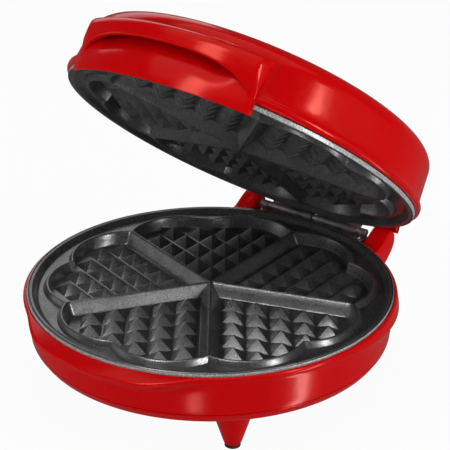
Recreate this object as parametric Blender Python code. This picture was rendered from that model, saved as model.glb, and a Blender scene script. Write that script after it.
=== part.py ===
"""Heart waffle maker: a countertop cooker with a hinged lid.

Two round coated plates hold five heart moulds each. The lower plate sits in a red base on four
conical feet, the upper plate in a red domed lid, and a steel hinge at the rear joins them.
Metres, +Z up. The origin is the centre of the base tray's flat underside. The front is -Y, the
hinge is at +Y, and the lid stands open at rest.

Each body is modelled about a datum: the centre of the lower plate's top plane. The lid is
modelled closed and hangs from an empty on the hinge's axis, which turns it open.
"""

import math

import bmesh
import bpy
from mathutils import Matrix, Vector

for leftover in list(bpy.data.objects):
    bpy.data.objects.remove(leftover, do_unlink=True)

# Fits that every piece shares
SEAT_GAP = 0.0003  # between pieces that rest on each other
HOLE_CLEARANCE = 0.0004  # round a screw, pin or tube in its hole
ROOT = 0.0006  # how far a fused form sinks into the wall that it grows from
OVERRUN = 0.003  # how far a cutter passes its wall
FACET_TURN = math.radians(4)
WALL = 0.0022  # moulded plastic wall
SHEET = 0.0008  # pressed steel sheet

# Driving sizes
PLATE_RADIUS = 0.0995
PLATE_PLANE = 0.030  # the lower plate's top plane above the tray's underside
PLATE_GAP = 0.0024  # between the plates when the lid is closed
HINGE_BEHIND = 0.0025  # the hinge's axis behind the lower plate's rim
HINGE_RISE = 0.0006  # the hinge's axis above the lower plate's top plane
LID_OPEN_ANGLE = math.radians(40.5)
FRONT = math.radians(270)
REAR = math.radians(90)

# Waffle pattern
HEARTS = 5
CAVITY_DEPTH = 0.0070
DIVIDER_TOP = 0.0010
DIVIDER_BASE = 0.0092
CUSP_IN = 0.0187  # a heart's cleft inside the plate's rim
NOTCH_IN = 0.0201  # a divider's end inside the plate's rim
LOBE_IN = 0.0115
CAVITY_DRAFT = 0.0016
RIB_WIDTH = 0.0012
RIB_SLOPE = 0.0024
RIB_DROP = 0.00015
GUTTER_DEPTH = 0.0032
PYRAMID_SIDE = 0.0130
PYRAMID_BASE_SHARE = 0.95
PYRAMID_HEIGHT = 0.0050
PYRAMID_EDGE_ROOM = 0.0030  # a peak stays this far inside the mould's outline
LOBE_STEPS = 5

# Plate casting
FLANGE_THICKNESS = 0.0020
FLANGE_WIDTH = 0.0040
UPPER_FLANGE_THICKNESS = 0.0024
UPPER_PLATE_EXTRA = 0.0005  # the upper plate's rim is this much larger
RIM_RING_WIDTH = 0.0030
RIM_RING_SLOPE = 0.0025
PLATE_THICKNESS = 0.0095
PLATE_SHOULDER = 0.0048
PLATE_UNDERSIDE_IN = 0.0095
STUD_RADIUS = 0.0050
STUD_PILOT = 0.0016
STUD_PILOT_DEPTH = 0.0060

# Base shell
RIM_OVERHANG = 0.0020
RIM_DROP = 0.0013
RIM_ROUND = 0.0008
RIM_CLEARANCE = 0.0005
SHELF_SLOPE = 0.348
BAND_FRONT = 0.0036
BAND_REAR = 0.0102
BAND_BEAD = 0.0013
BAND_ROUND = 0.0010
BAND_UNDERCUT = 0.0044
WAIST_IN = 0.0023
WAIST_DROP = 0.0170
SEAM_IN = 0.0008
SEAM_DROP = 0.0240
LEDGE_WIDTH = 0.0036
LEDGE_THICKNESS = 0.0024
FRONT_LIP_REACH = 0.0063
FRONT_LIP_HALF = math.radians(34)
FRONT_LIP_FADE = math.radians(12)
SHELL_STEPS = 72

# Hinge cheeks and deck on the base shell
CHEEK_INSIDE = 0.0398
CHEEK_OUTSIDE = 0.0515
CHEEK_FOOT = 0.0160
CHEEK_TOP_RISE = 0.0040  # the cheek's top above the hinge's axis
CHEEK_TOP_BACK = 0.0028
CHEEK_REACH = 0.0080  # the cheek's rear face behind the axis
CHEEK_CHIN = 0.0045
CHEEK_RAMP_BACK = 0.0090  # the ramp starts this far in front of the axis
DECK_DROP = 0.0039
DECK_REACH = 0.0035
DECK_EDGE = 0.0035
DECK_FOOT = 0.0145
DECK_FRONT = 0.0120

# Base tray and feet
TRAY_CHAMFER_DROP = 0.0050
TRAY_CHAMFER_IN = 0.0030
TRAY_ROUND = 0.0012
TRAY_FLOOR = 0.0022
FEET = 4
FOOT_IN = 0.0192  # a foot's centre inside the seam
FOOT_TOP_RADIUS = 0.0114
FOOT_TIP_RADIUS = 0.0046
FOOT_LENGTH = 0.0224
FOOT_TIP_ROUND = 0.0010
PAD_THICKNESS = 0.0014
PAD_INSET = 0.0004

# Screws
TRAY_SCREWS = 4
TRAY_SCREW_IN = 0.0099
TRAY_SCREW_TURN = math.radians(22.5)  # past the feet
BOSS_RADIUS = 0.0040
BOSS_HEIGHT = 0.0080
BOSS_RIB = 0.0024
BOSS_RIB_HEIGHT = 0.0036
SCREW_SHANK = 0.00125
SCREW_HEAD = 0.0027
SCREW_HEAD_HEIGHT = 0.0014
SCREW_LENGTH = 0.0060

# Inside the base and the lid
ELEMENT_IN = 0.0395  # the element's circle inside the plate's edge
ELEMENT_RADIUS = 0.0032
ELEMENT_OPENING = math.radians(15)  # half the gap between the element's ends
ELEMENT_LEG = 0.0075
ELEMENT_TURNS = 26
SHIELD_IN = 0.0005
SHIELD_FLANGE = 0.0035
SHIELD_DEPTH = 0.0080
SHIELD_DRAFT = 0.0015
SHIELD_STEPS = 28
THERMOSTAT_PLACE = 0.0300
THERMOSTAT_RADIUS = 0.0080
THERMOSTAT_HEIGHT = 0.0045
THERMOSTAT_TAB = 0.0030
BLOCK_WIDTH = 0.0260
BLOCK_DEPTH = 0.0120
BLOCK_HEIGHT = 0.0066
BLOCK_IN = 0.0194  # the block's back inside the seam
FUSE_RADIUS = 0.0021
FUSE_LENGTH = 0.0240
FUSE_FORWARD = 0.0290  # the fuse in front of the block's back
FUSE_CLIP = 0.0060
LEAD_RADIUS = 0.0013
GLAND_DROP = 0.0194
GLAND_COLLAR_RADIUS = 0.0049
GLAND_COLLAR = 0.0026
GLAND_RADIUS = 0.0042
GLAND_BORE = 0.0032
GLAND_LENGTH = 0.0110

# Hinge
BARREL_RADIUS = 0.00225
PIN_RADIUS = 0.0012
PIN_RUNNING_GAP = 0.00008
BARREL_OUTER_END = 0.0368
BARREL_JOINT = 0.0315  # where a long barrel meets an end barrel
BARREL_SLACK = 0.0005
LEAF_THICKNESS = 0.0012
LEAF_FRONT = 0.0065
LEAF_SCREW_ACROSS = 0.0332
LEAF_SCREW_FRONT = 0.0036
LID_LEAF_TOP = 0.0120
LID_LEAF_SCREW_ACROSS = 0.0180
LID_LEAF_SCREW_RISE = 0.0080
LID_BOSS_HALF = 0.0040

# Lid shell
LID_LIP_DROP = 0.0004  # the lip stands this far above the upper plate's flange
LID_LIP_OVERHANG = 0.0021
LID_LIP_HEIGHT = 0.0036
LID_LIP_ROUND = 0.0009
LID_GROOVE = 0.0019
LID_GROOVE_HEIGHT = 0.0018
LID_SIDE_IN = 0.0035
LID_SIDE_TOP = 0.0278
LID_TOP = 0.0460
SHOULDER_IN = 0.0092
SHOULDER_RISE = 0.0101
SHOULDER_STEPS = 4
DOME_STEPS = 5
LID_STEPS = 56
DOME_POWER = 2.2

# Handle
HANDLE_HALF = math.radians(34)
SKIRT_OUT = 0.0029  # the skirt outside the lid's lip
HANDLE_OUT = 0.0012  # the grip's face outside the skirt
SKIRT_LIFT = 0.00045  # the skirt's clearance over the base's front lip
SKIRT_BEVEL = 0.0008
HANDLE_TOP_EDGE = 0.0248
HANDLE_TOP_IN = 0.0030
ARCH_HEIGHT = 0.0178
ARCH_HALF = math.radians(30.2)
ARCH_POWER = 3.2
ARCH_THICKNESS = 0.0026
POCKET_WALL = 0.0024
POCKET_RISE = 0.0072
SCOOP_FLOOR = 0.0018
SCOOP_HALF = math.radians(27)
INSERT_HALF = math.radians(29.5)
INSERT_IN = 0.0084
WINDOW_TOP = 0.0272
HANDLE_SCREW_TURN = math.radians(32)
HANDLE_SCREW_RISE = 0.0150
HANDLE_STEPS = 24

# Cover behind the hinge
COVER_HALF = 0.0500
COVER_CHEEK = 0.0024
COVER_REACH = 0.0120
COVER_LIP_RISE = 0.0075

# Indicator lamps
LAMP_IN = 0.0386  # a lamp inside the lid's side wall
LAMP_ACROSS = 0.0095
LENS_RADIUS = 0.0034
LENS_HEIGHT = 0.0050
LENS_PROUD = 0.0016
LAMP_RADIUS = 0.0024
LAMP_LENGTH = 0.0080

# Plain facts worked out from the sizes
UPPER_PLATE_RADIUS = PLATE_RADIUS + UPPER_PLATE_EXTRA
HINGE_BACK = PLATE_RADIUS + HINGE_BEHIND
CUSP_RADIUS = PLATE_RADIUS - CUSP_IN
NOTCH_RADIUS = PLATE_RADIUS - NOTCH_IN
LOBE_RADIUS = PLATE_RADIUS - LOBE_IN
PLATE_UNDERSIDE_RADIUS = PLATE_RADIUS - PLATE_UNDERSIDE_IN
RIM_RADIUS = PLATE_RADIUS + RIM_OVERHANG
WAIST_RADIUS = RIM_RADIUS - WAIST_IN
SEAM_RADIUS = WAIST_RADIUS - SEAM_IN
FOOT_CIRCLE = SEAM_RADIUS - FOOT_IN
TRAY_SCREW_CIRCLE = SEAM_RADIUS - TRAY_SCREW_IN
SHIELD_RADIUS = PLATE_UNDERSIDE_RADIUS - SHIELD_IN
BLOCK_BACK = SEAM_RADIUS - BLOCK_IN
FUSE_BACK = BLOCK_BACK - FUSE_FORWARD
ELEMENT_CIRCLE = PLATE_RADIUS - ELEMENT_IN
LID_LIP_RADIUS = UPPER_PLATE_RADIUS + LID_LIP_OVERHANG
LID_SIDE_RADIUS = LID_LIP_RADIUS - LID_SIDE_IN
SKIRT_RADIUS = LID_LIP_RADIUS + SKIRT_OUT
HANDLE_FRONT = SKIRT_RADIUS + HANDLE_OUT
INSERT_BACK = UPPER_PLATE_RADIUS - INSERT_IN
POCKET_BACK = INSERT_BACK + POCKET_WALL
LAMP_BACK = LID_SIDE_RADIUS - LAMP_IN
TRAY_DROP = PLATE_PLANE
RIM_INSIDE = PLATE_RADIUS + RIM_CLEARANCE
LEDGE_DROP = FLANGE_THICKNESS + SEAT_GAP
LID_LIP_BOTTOM = PLATE_GAP + UPPER_FLANGE_THICKNESS + LID_LIP_DROP
SECTOR = 2 * math.pi / HEARTS
QUARTER = math.pi / 2
FULL = 2 * math.pi


def material(name, colour, roughness, metallic=0.0):
    made = bpy.data.materials.new(name)
    made.use_nodes = True
    shader = made.node_tree.nodes["Principled BSDF"]
    shader.inputs["Base Color"].default_value = (*colour, 1.0)
    shader.inputs["Roughness"].default_value = roughness
    shader.inputs["Metallic"].default_value = metallic
    return made


RED = material("red_plastic", (0.62, 0.004, 0.006), 0.16)
COATING = material("plate_coating", (0.018, 0.018, 0.020), 0.42, 0.3)
STEEL = material("hinge_steel", (0.13, 0.13, 0.14), 0.38, 1.0)
ZINC = material("zinc_screw", (0.30, 0.30, 0.31), 0.35, 1.0)
SHIELD = material("aluminised_sheet", (0.55, 0.55, 0.56), 0.40, 1.0)
ELEMENT = material("element_sheath", (0.16, 0.15, 0.14), 0.45, 1.0)
RUBBER = material("foot_rubber", (0.010, 0.010, 0.010), 0.80)
NYLON = material("black_nylon", (0.015, 0.015, 0.016), 0.50)
CERAMIC = material("cream_ceramic", (0.70, 0.66, 0.56), 0.60)
SLEEVE = material("lead_sleeve", (0.60, 0.58, 0.52), 0.70)
RED_LENS = material("red_lens", (0.70, 0.02, 0.01), 0.10)
GREEN_LENS = material("green_lens", (0.02, 0.40, 0.06), 0.10)
NEON = material("neon_glass", (0.75, 0.72, 0.70), 0.10)


def empty(name, place, turn=0.0, parent=None):
    made = bpy.data.objects.new(name, None)
    bpy.context.scene.collection.objects.link(made)
    made.location = place
    made.rotation_euler = (turn, 0.0, 0.0)
    made.parent = parent
    return made


base_datum = empty("base_datum", (0, 0, PLATE_PLANE))
lid_hinge = empty("lid_hinge_axis", (0, HINGE_BACK, PLATE_PLANE + HINGE_RISE), -LID_OPEN_ANGLE)
lid_datum = empty("lid_datum", (0, -HINGE_BACK, -HINGE_RISE), parent=lid_hinge)


def piece(name, bm, finish, parent):
    """Makes an object from a bmesh, with its faces pointing out and its round faces shaded smooth."""
    bmesh.ops.recalc_face_normals(bm, faces=bm.faces)
    mesh = bpy.data.meshes.new(name)
    bm.to_mesh(mesh)
    bm.free()
    mesh.shade_smooth()
    mesh.set_sharp_from_angle(angle=math.radians(32))
    if finish is not None:
        mesh.materials.append(finish)
    made = bpy.data.objects.new(name, mesh)
    bpy.context.scene.collection.objects.link(made)
    made.parent = parent
    return made


def tool(name, bm, parent):
    """A cutter or a form to fuse: it shapes another object and is not a piece itself."""
    made = piece(name, bm, None, parent)
    made.hide_render = True
    made.display_type = "WIRE"
    return made


def shape_with(target, other, operation):
    step = target.modifiers.new(f"{operation.lower()}_{other.name}", "BOOLEAN")
    step.operation = operation
    step.object = other
    step.solver = "EXACT"


def smooth_share(value, start, end):
    """0 before start, 1 after end, and a soft step between."""
    share = min(1.0, max(0.0, (value - start) / (end - start)))
    return share * share * (3 - 2 * share)


def from_front(theta):
    """The angle between a direction and the front, from 0 to half a turn."""
    return abs((theta - FRONT + math.pi) % FULL - math.pi)


def lathe(section, steps, closed=True, shape=None, centre=None, half=None):
    """Spins a section of (radius, height) points about Z.

    shape(row, theta) may give each point another radius and height at each angle. With centre and
    half, the sweep is a sector from centre - half to centre + half with flat ends.
    """
    bm = bmesh.new()
    rows = bm.verts.layers.int.new("row")
    start = centre - half if half else 0.0
    sweep = 2 * half if half else FULL
    across = Matrix.Rotation(start, 3, "Z")
    points = []
    for index, (radius, height) in enumerate(section):
        vert = bm.verts.new(across @ Vector((radius, 0, height)))
        vert[rows] = index
        points.append(vert)
    edges = [bm.edges.new(pair) for pair in zip(points, points[1:])]
    if closed:
        edges.append(bm.edges.new((points[-1], points[0])))
    bmesh.ops.spin(bm, geom=points + edges, axis=(0, 0, 1), cent=(0, 0, 0),
                   angle=sweep, steps=steps, use_merge=half is None)
    if not closed:
        axis_verts = [v for v in bm.verts if v.co.xy.length < SEAT_GAP / 100]
        bmesh.ops.remove_doubles(bm, verts=axis_verts, dist=SEAT_GAP / 100)
    if shape:
        for vert in bm.verts:
            theta = math.atan2(vert.co.y, vert.co.x)
            radius, height = shape(vert[rows], theta)
            vert.co = (radius * math.cos(theta), radius * math.sin(theta), height)
    if half:
        open_edges = [e for e in bm.edges if e.is_boundary]
        bmesh.ops.holes_fill(bm, edges=open_edges)
    return bm


def prism(outline, low, high, axis="X"):
    """Extrudes a closed outline from low to high. The outline is (Y, Z) along X, or (X, Y) along Z."""
    bm = bmesh.new()
    if axis == "X":
        corners = [(low, a, b) for a, b in outline]
        along = Vector((high - low, 0, 0))
    else:
        corners = [(a, b, low) for a, b in outline]
        along = Vector((0, 0, high - low))
    face = bm.faces.new([bm.verts.new(c) for c in corners])
    grown = bmesh.ops.extrude_face_region(bm, geom=[face])["geom"]
    bmesh.ops.translate(bm, vec=along, verts=[g for g in grown if isinstance(g, bmesh.types.BMVert)])
    return bm


def box(low, high):
    outline = [(low[0], low[1]), (high[0], low[1]), (high[0], high[1]), (low[0], high[1])]
    return prism(outline, low[2], high[2], "Z")


def rod(radius, start, end, sides=16, end_radius=None):
    """A cylinder or cone between two points, its facets turned so that none lines up with a lathe's."""
    start, end = Vector(start), Vector(end)
    bm = bmesh.new()
    bmesh.ops.create_cone(bm, cap_ends=True, segments=sides, radius1=radius,
                          radius2=radius if end_radius is None else end_radius,
                          depth=(end - start).length)
    bmesh.ops.rotate(bm, matrix=Matrix.Rotation(FACET_TURN, 3, "Z"), verts=bm.verts)
    turn = (end - start).to_track_quat("Z", "Y").to_matrix().to_4x4()
    bmesh.ops.transform(bm, matrix=Matrix.Translation((start + end) / 2) @ turn, verts=bm.verts)
    return bm


def on_circle(radius, theta, height=0.0):
    return Vector((radius * math.cos(theta), radius * math.sin(theta), height))


def tube(name, points, radius, finish, parent, resolution=2):
    """A round tube through points, with flat ends."""
    curve = bpy.data.curves.new(name, "CURVE")
    curve.dimensions = "3D"
    curve.bevel_depth = radius
    curve.bevel_resolution = resolution
    curve.render_resolution_u = 0
    curve.use_fill_caps = True
    line = curve.splines.new("POLY")
    line.points.add(len(points) - 1)
    for spot, place in zip(line.points, points):
        spot.co = (*place, 1.0)
    curve.materials.append(finish)
    made = bpy.data.objects.new(name, curve)
    bpy.context.scene.collection.objects.link(made)
    made.parent = parent
    return made


# The waffle pattern, which both plates share


def arc_through(first, middle, last, steps):
    """Points on the arc from first through middle to last, the ends included."""
    a, b, c = (Vector(p) for p in (first, middle, last))
    d = 2 * (a.x * (b.y - c.y) + b.x * (c.y - a.y) + c.x * (a.y - b.y))
    ux = (a.length_squared * (b.y - c.y) + b.length_squared * (c.y - a.y) + c.length_squared * (a.y - b.y)) / d
    uy = (a.length_squared * (c.x - b.x) + b.length_squared * (a.x - c.x) + c.length_squared * (b.x - a.x)) / d
    centre = Vector((ux, uy))
    begin = a - centre
    turn = begin.angle_signed(b - centre) + (b - centre).angle_signed(c - centre)
    return [centre + Matrix.Rotation(-turn * k / steps, 2) @ begin for k in range(steps + 1)]


def polar(radius, theta):
    return Vector((radius * math.cos(theta), radius * math.sin(theta)))


def mould_outline(side, inset):
    """One heart's outline about the +X axis: its divider sides stand off by side, its lobes by inset."""
    half = SECTOR / 2
    corner = Vector((side / math.sin(half), 0))
    side_line = polar(1, half)
    end = corner + side_line * (NOTCH_RADIUS - inset - corner.x * math.cos(half))
    lobe = arc_through(end, polar(LOBE_RADIUS - inset, half / 2), polar(CUSP_RADIUS - inset, 0), LOBE_STEPS)
    upper = [corner] + lobe
    lower = [Vector((p.x, -p.y)) for p in reversed(lobe[:-1])]
    return upper + lower


def flower_outline(outset):
    """The outline round all the hearts: two lobes for each."""
    points = []
    for heart in range(HEARTS):
        middle = FRONT + heart * SECTOR
        for sign in (-1, 1):
            notch = polar(NOTCH_RADIUS + outset, middle + sign * SECTOR / 2)
            lobe = polar(LOBE_RADIUS + outset, middle + sign * SECTOR / 4)
            cusp = polar(CUSP_RADIUS + outset, middle)
            ends = (notch, cusp) if sign < 0 else (cusp, notch)
            points += arc_through(ends[0], lobe, ends[1], LOBE_STEPS)[:-1]
    return points


def loft(lower, upper, low, high):
    """A closed form between two outlines with as many points each."""
    bm = bmesh.new()
    floor = [bm.verts.new((p.x, p.y, low)) for p in lower]
    roof = [bm.verts.new((p.x, p.y, high)) for p in upper]
    floor_face = bm.faces.new(floor)
    roof_face = bm.faces.new(roof)
    bmesh.ops.bridge_loops(bm, edges=list(floor_face.edges) + list(roof_face.edges))
    return bm


def carve_shares(depth):
    """How far the divider's side and the lobe's wall have moved in at a depth under the plane."""
    share = depth / CAVITY_DEPTH
    side = DIVIDER_TOP / 2 + share * (DIVIDER_BASE - DIVIDER_TOP) / 2
    return side, share * CAVITY_DRAFT


def moulds(parent, name):
    """The five heart cavities as one cutter."""
    whole = bmesh.new()
    side_low, inset_low = carve_shares(CAVITY_DEPTH)
    side_high, inset_high = carve_shares(-OVERRUN / 8)
    for heart in range(HEARTS):
        bm = loft(mould_outline(side_low, inset_low), mould_outline(side_high, inset_high),
                  -CAVITY_DEPTH, OVERRUN / 8)
        bmesh.ops.rotate(bm, matrix=Matrix.Rotation(FRONT + heart * SECTOR, 3, "Z"), verts=bm.verts)
        mesh = bpy.data.meshes.new(f"{name}_{heart}")
        bm.to_mesh(mesh)
        bm.free()
        whole.from_mesh(mesh)
        bpy.data.meshes.remove(mesh)
    return tool(name, whole, parent)


def pyramid_places():
    """Peaks of one heart about the +X axis, on lines that run along its two dividers."""
    half = SECTOR / 2
    along_a, along_b = polar(PYRAMID_SIDE, half), polar(PYRAMID_SIDE, -half)
    count = int(LOBE_RADIUS / PYRAMID_SIDE) + 2
    side, inset = carve_shares(CAVITY_DEPTH)
    limit = mould_outline(side, inset)
    found = []
    for i in range(1, count):
        for j in range(1, count):
            place = along_a * i + along_b * j
            angle = math.atan2(place.y, place.x)
            reach = max(p.length for p in limit if abs(math.atan2(p.y, p.x) - angle) < half / LOBE_STEPS)
            nearest = min((p - place).length for p in limit)
            if place.length < reach - PYRAMID_EDGE_ROOM / 2 and nearest > PYRAMID_EDGE_ROOM:
                found.append(place)
    return found


def pyramids(parent, name):
    """All the pyramids as one form to fuse, their feet sunk under the cavities' floor."""
    half = SECTOR / 2
    bm = bmesh.new()
    reach_a = polar(PYRAMID_SIDE, half) + polar(PYRAMID_SIDE, -half)
    reach_b = polar(PYRAMID_SIDE, half) - polar(PYRAMID_SIDE, -half)
    share = PYRAMID_BASE_SHARE / 2
    foot = -CAVITY_DEPTH - ROOT
    tip = -CAVITY_DEPTH + PYRAMID_HEIGHT
    for heart in range(HEARTS):
        turn = Matrix.Rotation(FRONT + heart * SECTOR, 2)
        for place in pyramid_places():
            corners = [place + reach_a * share, place + reach_b * share,
                       place - reach_a * share, place - reach_b * share]
            ring = [bm.verts.new((*(turn @ c), foot)) for c in corners]
            peak = bm.verts.new((*(turn @ place), tip))
            bm.faces.new(ring)
            for first, second in zip(ring, ring[1:] + ring[:1]):
                bm.faces.new((first, second, peak))
    return tool(name, bm, parent)


def plate(name, radius, flange, datum, upper):
    """A plate casting, built face up with its plane at zero; the upper one is then turned over."""
    shoulder_radius = radius - FLANGE_WIDTH
    groove_foot = radius - RIM_RING_WIDTH - RIM_RING_SLOPE
    section = [
        (0, -GUTTER_DEPTH),
        (groove_foot, -GUTTER_DEPTH),
        (radius - RIM_RING_WIDTH, 0),
        (radius, 0),
        (radius, -flange),
        (shoulder_radius, -flange),
        (shoulder_radius, -PLATE_SHOULDER),
        (PLATE_UNDERSIDE_RADIUS, -PLATE_SHOULDER - FLANGE_THICKNESS),
        (PLATE_UNDERSIDE_RADIUS, -PLATE_THICKNESS),
        (STUD_RADIUS, -PLATE_THICKNESS),
        (STUD_RADIUS, -PLATE_THICKNESS - SHIELD_DEPTH + SHEET),
        (0, -PLATE_THICKNESS - SHIELD_DEPTH + SHEET),
    ]
    body = piece(name, lathe(section, 72, closed=False), COATING, datum)
    block = tool(f"{name}_heart_block",
                 loft(flower_outline(RIB_WIDTH + RIB_SLOPE), flower_outline(RIB_WIDTH),
                      -GUTTER_DEPTH - ROOT, -RIB_DROP), datum)
    cavities = moulds(datum, f"{name}_moulds")
    peaks = pyramids(datum, f"{name}_pyramids")
    stud_end = -PLATE_THICKNESS - SHIELD_DEPTH
    pilot = tool(f"{name}_pilot", rod(STUD_PILOT, (0, 0, stud_end - OVERRUN),
                                      (0, 0, stud_end + STUD_PILOT_DEPTH)), datum)
    shape_with(body, block, "UNION")
    shape_with(body, cavities, "DIFFERENCE")
    shape_with(body, peaks, "UNION")
    shape_with(body, pilot, "DIFFERENCE")
    if upper:
        for part in (body, block, cavities, peaks, pilot):
            part.location = (0, 0, PLATE_GAP)
            part.rotation_euler = (0, math.pi, 0)
    return body


# What lies under a plate: an element, a shield and its screw


def heating_element(name, datum, face, direction):
    """A tubular ring against the plate's back. Its two ends turn away from the plate at the rear."""
    middle = face + direction * (SEAT_GAP + ELEMENT_RADIUS)
    begin, sweep = REAR + ELEMENT_OPENING, FULL - 2 * ELEMENT_OPENING
    turns = ELEMENT_TURNS
    ring = [on_circle(ELEMENT_CIRCLE, begin + sweep * k / turns, middle) for k in range(turns + 1)]
    away = Vector((0, 0, direction))
    bend = ELEMENT_RADIUS * 1.6

    def leg(end, heading):
        corner = end + heading * bend
        knee = [end + heading * bend * math.sin(t) + away * bend * (1 - math.cos(t))
                for t in (QUARTER / 3, 2 * QUARTER / 3, QUARTER)]
        return knee + [corner + away * ELEMENT_LEG]

    first = leg(ring[0], (ring[0] - ring[1]).normalized())
    last = leg(ring[-1], (ring[-1] - ring[-2]).normalized())
    points = list(reversed(first)) + ring + last
    tube(name, points, ELEMENT_RADIUS, ELEMENT, datum)
    return first[-1], last[-1]


def heat_shield(name, datum, face, direction, legs):
    """A pressed dish over the element, with a hole for each leg and for the screw."""
    rim = face + direction * SEAT_GAP
    floor = face + direction * SHIELD_DEPTH
    wall = SHIELD_RADIUS - SHIELD_FLANGE
    inside = wall - SHEET
    section = [
        (SHIELD_RADIUS, rim),
        (SHIELD_RADIUS, rim + direction * SHEET),
        (wall, rim + direction * SHEET),
        (wall - SHIELD_DRAFT, floor + direction * SHEET),
        (0, floor + direction * SHEET),
        (0, floor),
        (inside - SHIELD_DRAFT, floor),
        (inside, rim),
    ]
    bm = lathe(section + [section[0]], SHIELD_STEPS, closed=False)
    bmesh.ops.remove_doubles(bm, verts=bm.verts, dist=SEAT_GAP / 100)
    body = piece(name, bm, SHIELD, datum)
    holes = [(leg, ELEMENT_RADIUS + HOLE_CLEARANCE) for leg in legs]
    holes.append((Vector((0, 0, 0)), SCREW_SHANK + HOLE_CLEARANCE))
    for index, (place, radius) in enumerate(holes):
        ends = [(place.x, place.y, floor - direction * OVERRUN), (place.x, place.y, floor + direction * OVERRUN)]
        cutter = tool(f"{name}_hole_{index}", rod(radius, *ends), datum)
        shape_with(body, cutter, "DIFFERENCE")
    screw(f"{name}_screw", datum, (0, 0, floor + direction * SHEET), (0, 0, direction),
          STUD_PILOT_DEPTH - OVERRUN / 3)
    return body


def screw(name, datum, seat, outward, length, head=SCREW_HEAD, shank=SCREW_SHANK):
    """A pan head on its seat and a shank behind it, with a cross recess in the head."""
    seat, outward = Vector(seat), Vector(outward).normalized()
    under = seat + outward * SEAT_GAP
    top = under + outward * SCREW_HEAD_HEIGHT
    body = piece(name, rod(head, under, top, 16, head * 0.8), ZINC, datum)
    stem = tool(f"{name}_shank", rod(shank, under + outward * ROOT, seat - outward * length, 12), datum)
    shape_with(body, stem, "UNION")
    slot_depth = SCREW_HEAD_HEIGHT / 2
    for index, turn in enumerate((0.0, QUARTER)):
        slot = box((-head / 2, -head / 10, -slot_depth), (head / 2, head / 10, slot_depth))
        lay = outward.to_track_quat("Z", "Y").to_matrix().to_4x4() @ Matrix.Rotation(turn, 4, "Z")
        bmesh.ops.transform(slot, matrix=Matrix.Translation(top) @ lay, verts=slot.verts)
        cutter = tool(f"{name}_slot_{index}", slot, datum)
        shape_with(body, cutter, "DIFFERENCE")
    return body


# Base


def lip_share(theta):
    """1 across the base's front lip, fading to 0 at its ends."""
    return 1 - smooth_share(from_front(theta), FRONT_LIP_HALF - FRONT_LIP_FADE, FRONT_LIP_HALF)


def base_row(row, theta):
    """One point of the base shell's section at an angle: the rim grows a lip in front and deepens behind."""
    lip = RIM_RADIUS + FRONT_LIP_REACH * lip_share(theta)
    rear = smooth_share(math.sin(theta), -0.45, 0.65)
    crown = lip - RIM_ROUND
    shelf = RIM_DROP + SHELF_SLOPE * (crown - RIM_INSIDE - RIM_DROP / 3)
    edge = shelf + RIM_ROUND
    band = max(BAND_FRONT + (BAND_REAR - BAND_FRONT) * rear, edge + RIM_ROUND * 0.8)
    bead = lip + BAND_BEAD * rear
    under = band + BAND_ROUND + BAND_UNDERCUT
    wall = WAIST_RADIUS + BAND_BEAD * 0.8 * (1 - rear)
    return [
        (RIM_INSIDE, -RIM_DROP),
        (crown, -shelf),
        (lip, -edge),
        (bead, -band),
        (bead - BAND_ROUND * 0.7, -band - BAND_ROUND),
        (wall, -under),
        (WAIST_RADIUS, -WAIST_DROP),
        (SEAM_RADIUS, -SEAM_DROP),
        (SEAM_RADIUS - WALL, -SEAM_DROP),
        (WAIST_RADIUS - WALL, -WAIST_DROP),
        (WAIST_RADIUS - WALL, -LEDGE_DROP - LEDGE_THICKNESS - WALL),
        (RIM_INSIDE - LEDGE_WIDTH, -LEDGE_DROP - LEDGE_THICKNESS),
        (RIM_INSIDE - LEDGE_WIDTH, -LEDGE_DROP),
        (RIM_INSIDE, -LEDGE_DROP),
    ][row]


def tray_screw_places():
    """The tray screws' places, on a circle."""
    return [on_circle(TRAY_SCREW_CIRCLE, TRAY_SCREW_TURN + FULL * (k + 0.5) / TRAY_SCREWS)
            for k in range(TRAY_SCREWS)]


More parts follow.
